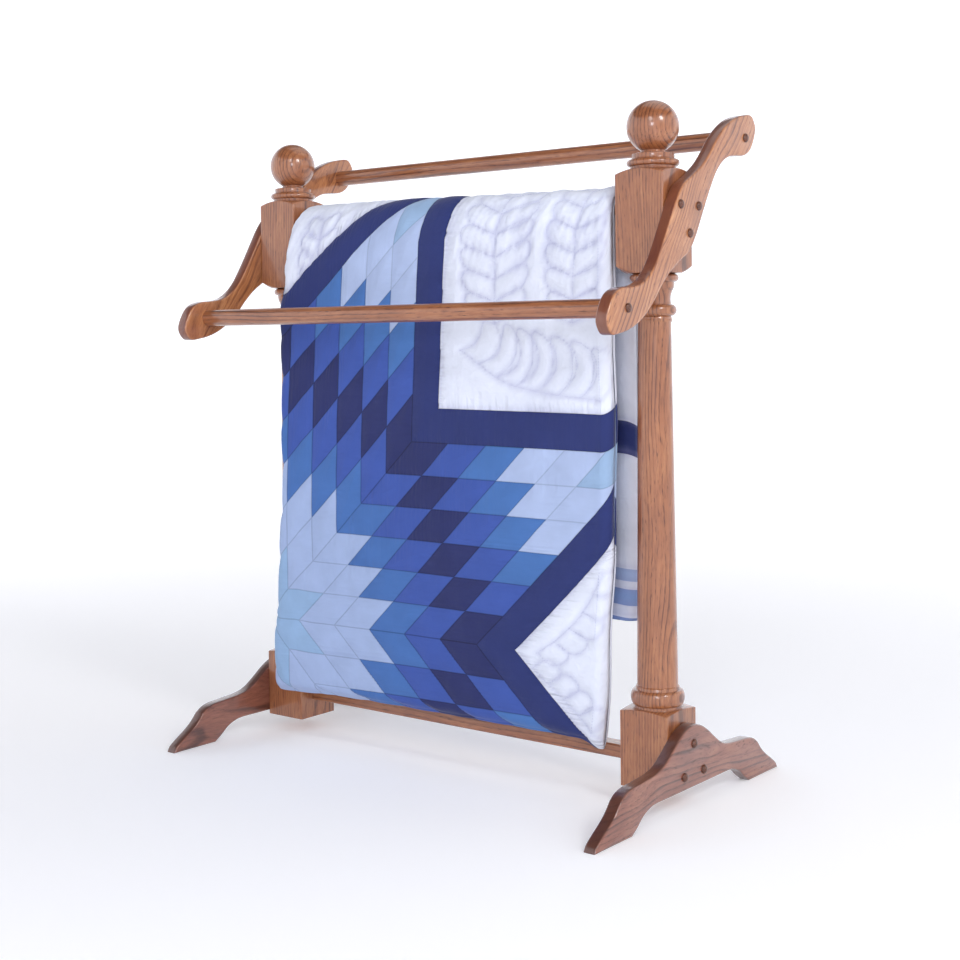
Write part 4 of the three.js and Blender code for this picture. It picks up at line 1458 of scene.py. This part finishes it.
@dataclass
class Stitches:
    """Hand quilting stitches along the feathers' lines, one short bead of thread each."""

    pitch: float = 4.1
    length: float = 1.5  # half of a stitch, before its unevenness
    thread: float = 0.45  # half of the thread's width; real thread is finer, drawn so that it shows
    seed: int = 7

    def tree(self) -> bpy.types.NodeTree:
        """Builds the tree that lays stitches end to end along lines.

        Returns:
            The Geometry Nodes tree.
        """
        kinds = {
            "Pitch": ("NodeSocketFloat", self.pitch * MM),
            "Half length": ("NodeSocketFloat", self.length * MM),
            "Thread": ("NodeSocketFloat", self.thread * MM),
            "Seed": ("NodeSocketInt", self.seed),
        }
        tree, given, result = new_geometry_tree("hand_stitches", kinds)
        curves = add(tree, "GeometryNodeMeshToCurve", {0: given.outputs["Geometry"]})
        spaced = add(
            tree,
            "GeometryNodeResampleCurve",
            {"Curve": curves, "Length": given.outputs["Pitch"]},
            mode="LENGTH",
        )
        bead = add(tree, "GeometryNodeMeshUVSphere", {"Segments": 6, "Rings": 4, "Radius": 1.0})
        tangent = add(tree, "GeometryNodeInputTangent")
        aimed = add(tree, "FunctionNodeAlignRotationToVector", {"Vector": tangent}, axis="X")
        uneven = add(
            tree,
            "FunctionNodeRandomValue",
            {2: 0.75, 3: 1.25, "Seed": given.outputs["Seed"]},
            data_type="FLOAT",
        )
        long = add(tree, "ShaderNodeMath", {0: given.outputs["Half length"], 1: uneven}, operation="MULTIPLY")
        size = add(
            tree,
            "ShaderNodeCombineXYZ",
            {"X": long, "Y": given.outputs["Thread"], "Z": given.outputs["Thread"]},
        )
        placed = add(
            tree,
            "GeometryNodeInstanceOnPoints",
            {
                "Points": spaced,
                "Instance": bead,
                "Rotation": aimed,
                "Scale": size,
            },
        )
        close_tree(tree, given, result, placed)
        return tree

    def build(
        self, quilt: Quilt, points: Points, flat: Points, finish: bpy.types.Material
    ) -> bpy.types.Object:
        """Builds the stitches on the quilt's outer skin.

        Args:
            quilt: The quilt they are sewn through.
            points: The outer skin's points.
            flat: Its flat places.
            finish: The thread.

        Returns:
            The dressed piece.
        """
        _, depth, cap = quilt.columns()
        shown = np.flatnonzero((depth == 1) & (cap == 0))
        skin, cloth = points[:, shown], flat[:, shown]
        tree = KDTree(skin.shape[0] * skin.shape[1])
        for index, (a, b, _) in enumerate(cloth.reshape(-1, 3)):
            tree.insert((a, b, 0), index)
        tree.balance()
        vertices: list[Points] = []
        edges = []
        flat_skin = skin.reshape(-1, 3)
        for line in Quilting(quilt.pattern).lines():
            start = len(vertices)
            for a, b in line:
                near = tree.find_n((a, b, 0), 4)
                if near[0][2] > 2 * quilt.fine:
                    continue
                weights = np.array([1 / (gap + 0.3) for _, _, gap in near])
                vertices.append(np.average([flat_skin[k] for _, k, _ in near], axis=0, weights=weights))
            edges += [(k, k + 1) for k in range(start, len(vertices) - 1)]
        lines = new_object("quilting_stitches", np.array(vertices), [], edges)
        values = {
            "Pitch": self.pitch * MM,
            "Half length": self.length * MM,
            "Thread": self.thread * MM,
            "Seed": self.seed,
            "Finish": finish,
        }
        piece = run_tree(lines, self.tree(), values)
        return dress(piece, finish, [])


# ---- Studio -------------------------------------------------------------------------------------
@dataclass
class Studio:
    """A plain pale sweep, soft lights and the camera."""

    eye: tuple[float, float, float] = (1.4654, -1.7947, 0.6457)
    yaw: float = 38.45
    pitch: float = 2.01
    roll: float = -0.74
    lens: float = 57.57
    fall: float = -0.0953  # the lens shift that puts the object's middle in the frame

    def camera(self) -> None:
        """Sets the camera."""
        turn, tip, lean = (math.radians(a) for a in (self.yaw, self.pitch, self.roll))
        ahead = Vector((-math.sin(turn) * math.cos(tip), math.cos(turn) * math.cos(tip), -math.sin(tip)))
        right = Vector((math.cos(turn), math.sin(turn), 0))
        up = right.cross(ahead)
        across = right * math.cos(lean) + up * math.sin(lean)
        above = up * math.cos(lean) - right * math.sin(lean)
        data = bpy.data.cameras.new("camera")
        data.lens = self.lens
        data.sensor_width = 36
        data.shift_y = self.fall
        data.clip_end = 40
        eye = bpy.data.objects.new("camera", data)
        bpy.context.scene.collection.objects.link(eye)
        axes = Matrix((across, above, -ahead)).transposed()
        eye.matrix_world = Matrix.Translation(self.eye) @ axes.to_4x4()
        bpy.context.scene.camera = eye

    def sweep(self) -> None:
        """Builds the pale floor that curves up into a backdrop all round, glowing faintly with painted light
        that is weakest near the middle.
        """
        level, curve, height = 3.4, 1.6, 4.2
        turns = np.linspace(0, math.pi / 2, 14)[1:]
        bend = [(level + curve * math.sin(a), curve - curve * math.cos(a)) for a in turns]
        rise = [(0.0, 0.0), (level, 0.0), *bend, (level + curve, height)]
        around = np.linspace(0, 2 * math.pi, 73)[:-1]
        rings = [[(r * math.cos(a), r * math.sin(a), z) for a in around] for r, z in rise[1:]]
        vertices = [(0.0, 0.0, 0.0), *[point for ring in rings for point in ring]]
        count = len(around)
        faces = [(0, 1 + k, 1 + (k + 1) % count) for k in range(count)]
        faces += [(a, d, c, b) for a, b, c, d in loop_faces(len(rings), count, 1)]
        floor = new_object("studio_sweep", np.array(vertices) / MM, faces)
        floor.data.shade_smooth()
        material, tree, shader = new_material("white_studio_sweep_painted_glow")
        place = add(tree, "ShaderNodeTexCoord").outputs["Object"]
        flattened = add(tree, "ShaderNodeMapping", {"Vector": place, "Scale": (1.0, 1.0, 0.0)})
        out = add(tree, "ShaderNodeVectorMath", {0: flattened}, operation="LENGTH")
        # painted glow: the sweep gives off light of its own, faint near the rack and brighter towards its rim
        glow = add(
            tree,
            "ShaderNodeMapRange",
            {"Value": out, "From Min": 0.4, "From Max": 3.2, "To Min": 0.2, "To Max": 0.48},
            interpolation_type="SMOOTHSTEP",
        )
        wire(shader, {"Base Color": linear("#f4f4f6"), "Roughness": 0.95, "Specular IOR Level": 0.1})
        wire(shader, {"Emission Color": linear("#f6f7fb"), "Emission Strength": glow})
        floor.data.materials.append(material)

    def light(
        self, name: str, place: tuple, aim: tuple, size: tuple[float, float], power: float, shade_strength: str
    ) -> None:
        """Adds a soft box.

        Args:
            name: The light's name.
            place: Where it hangs.
            aim: What it points at.
            size: Its width and height.
            power: Its power in watts.
            shade_strength: Its colour.
        """
        data = bpy.data.lights.new(name, "AREA")
        data.shape = "RECTANGLE"
        data.size, data.size_y = size
        data.energy = power
        data.color = linear(shade_strength)[:3]
        lamp = bpy.data.objects.new(name, data)
        bpy.context.scene.collection.objects.link(lamp)
        lamp.location = place
        lamp.rotation_euler = (Vector(aim) - Vector(place)).to_track_quat("-Z", "Y").to_euler()

    def build(self) -> None:
        """Builds the whole studio."""
        self.camera()
        self.sweep()
        middle = (0.0, 0.0, 0.5)
        self.light("window_left", (1.3, -2.4, 2.4), middle, (0.6, 0.8), 9, "#ffffff")
        self.light("window_right", (2.8, -0.75, 2.4), middle, (0.6, 0.8), 27, "#ffffff")
        self.light("fill_front", (1.5, -2.1, 1.15), middle, (0.5, 0.5), 9, "#f4f6ff")
        self.light("top", (0.2, 0.9, 3.2), middle, (2.4, 2.4), 14, "#ffffff")
        world = bpy.data.worlds.new("studio_air")
        world.use_nodes = True
        wire(world.node_tree.nodes["Background"], {"Color": linear("#f7f8fc"), "Strength": 0.12})
        bpy.context.scene.world = world
        bpy.context.scene.view_settings.view_transform = "Standard"


# ---- Assembly -----------------------------------------------------------------------------------
def dress_cad_nodes(wood: bpy.types.Material, steel: bpy.types.Material) -> None:
    """Gives the CAD nodes that are shown as they are their materials.

    Args:
        wood: The stretcher's wood.
        steel: The screws' metal.
    """
    for name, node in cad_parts.items():
        if name == "stretcher" or name.endswith("_screw"):
            node.data.materials.clear()
            node.data.materials.append(wood if name == "stretcher" else steel)


def main() -> None:
    """Builds the studio, the rack and the quilt."""
    logging.basicConfig(level=logging.INFO, format="%(name)s: %(message)s")
    Studio().build()

    upright = StainedOak("red_oak_posts", Grain.UPRIGHT)
    arms = StainedOak(
        "red_oak_arms", Grain.ALONG_ARM, pith=(-352.0, 44.0), ring_width=9.0, wander=24.0,
        pale="#cf9362", middle="#b07044", dark="#6f3d26", edge_share=0.85,
    )
    feet = StainedOak(
        "red_oak_feet", Grain.FRONT_TO_BACK, pith=(-352.0, 120.0), ring_width=9.0, wander=20.0,
        pale="#a66d55", middle="#87503e", dark="#50291f", edge="#4d2a20", edge_share=0.85,
    )
    rods = StainedOak("red_oak_rods", Grain.ALONG_RODS, pith=(30.0, 40.0), ring_width=6.0, wander=5.0)
    post_wood, arm_wood, foot_wood, rod_wood = (finish.material() for finish in (upright, arms, feet, rods))
    for side in SIDES:
        Post(side).build(post_wood)
        Arm(f"arm_{side}_board", f"arm_{side}").build(arm_wood)
        Foot(f"foot_{side}_board", f"foot_{side}").build(foot_wood)
    Rods().build(rod_wood)
    Plugs().build(PlugOak().material())
    dress_cad_nodes(rod_wood, ZincSteel().material())

    pattern = StarPattern()
    quilt = Quilt(pattern)
    cloth, outer, flat = quilt.build(Patchwork(pattern).material(), PlainCotton("cotton_backing").material())
    thread = PlainCotton("quilting_thread", "#bcc0dc", 0.7).material()
    stitches = Stitches().build(quilt, outer, flat, thread)


if __name__ == "__main__":
    main()
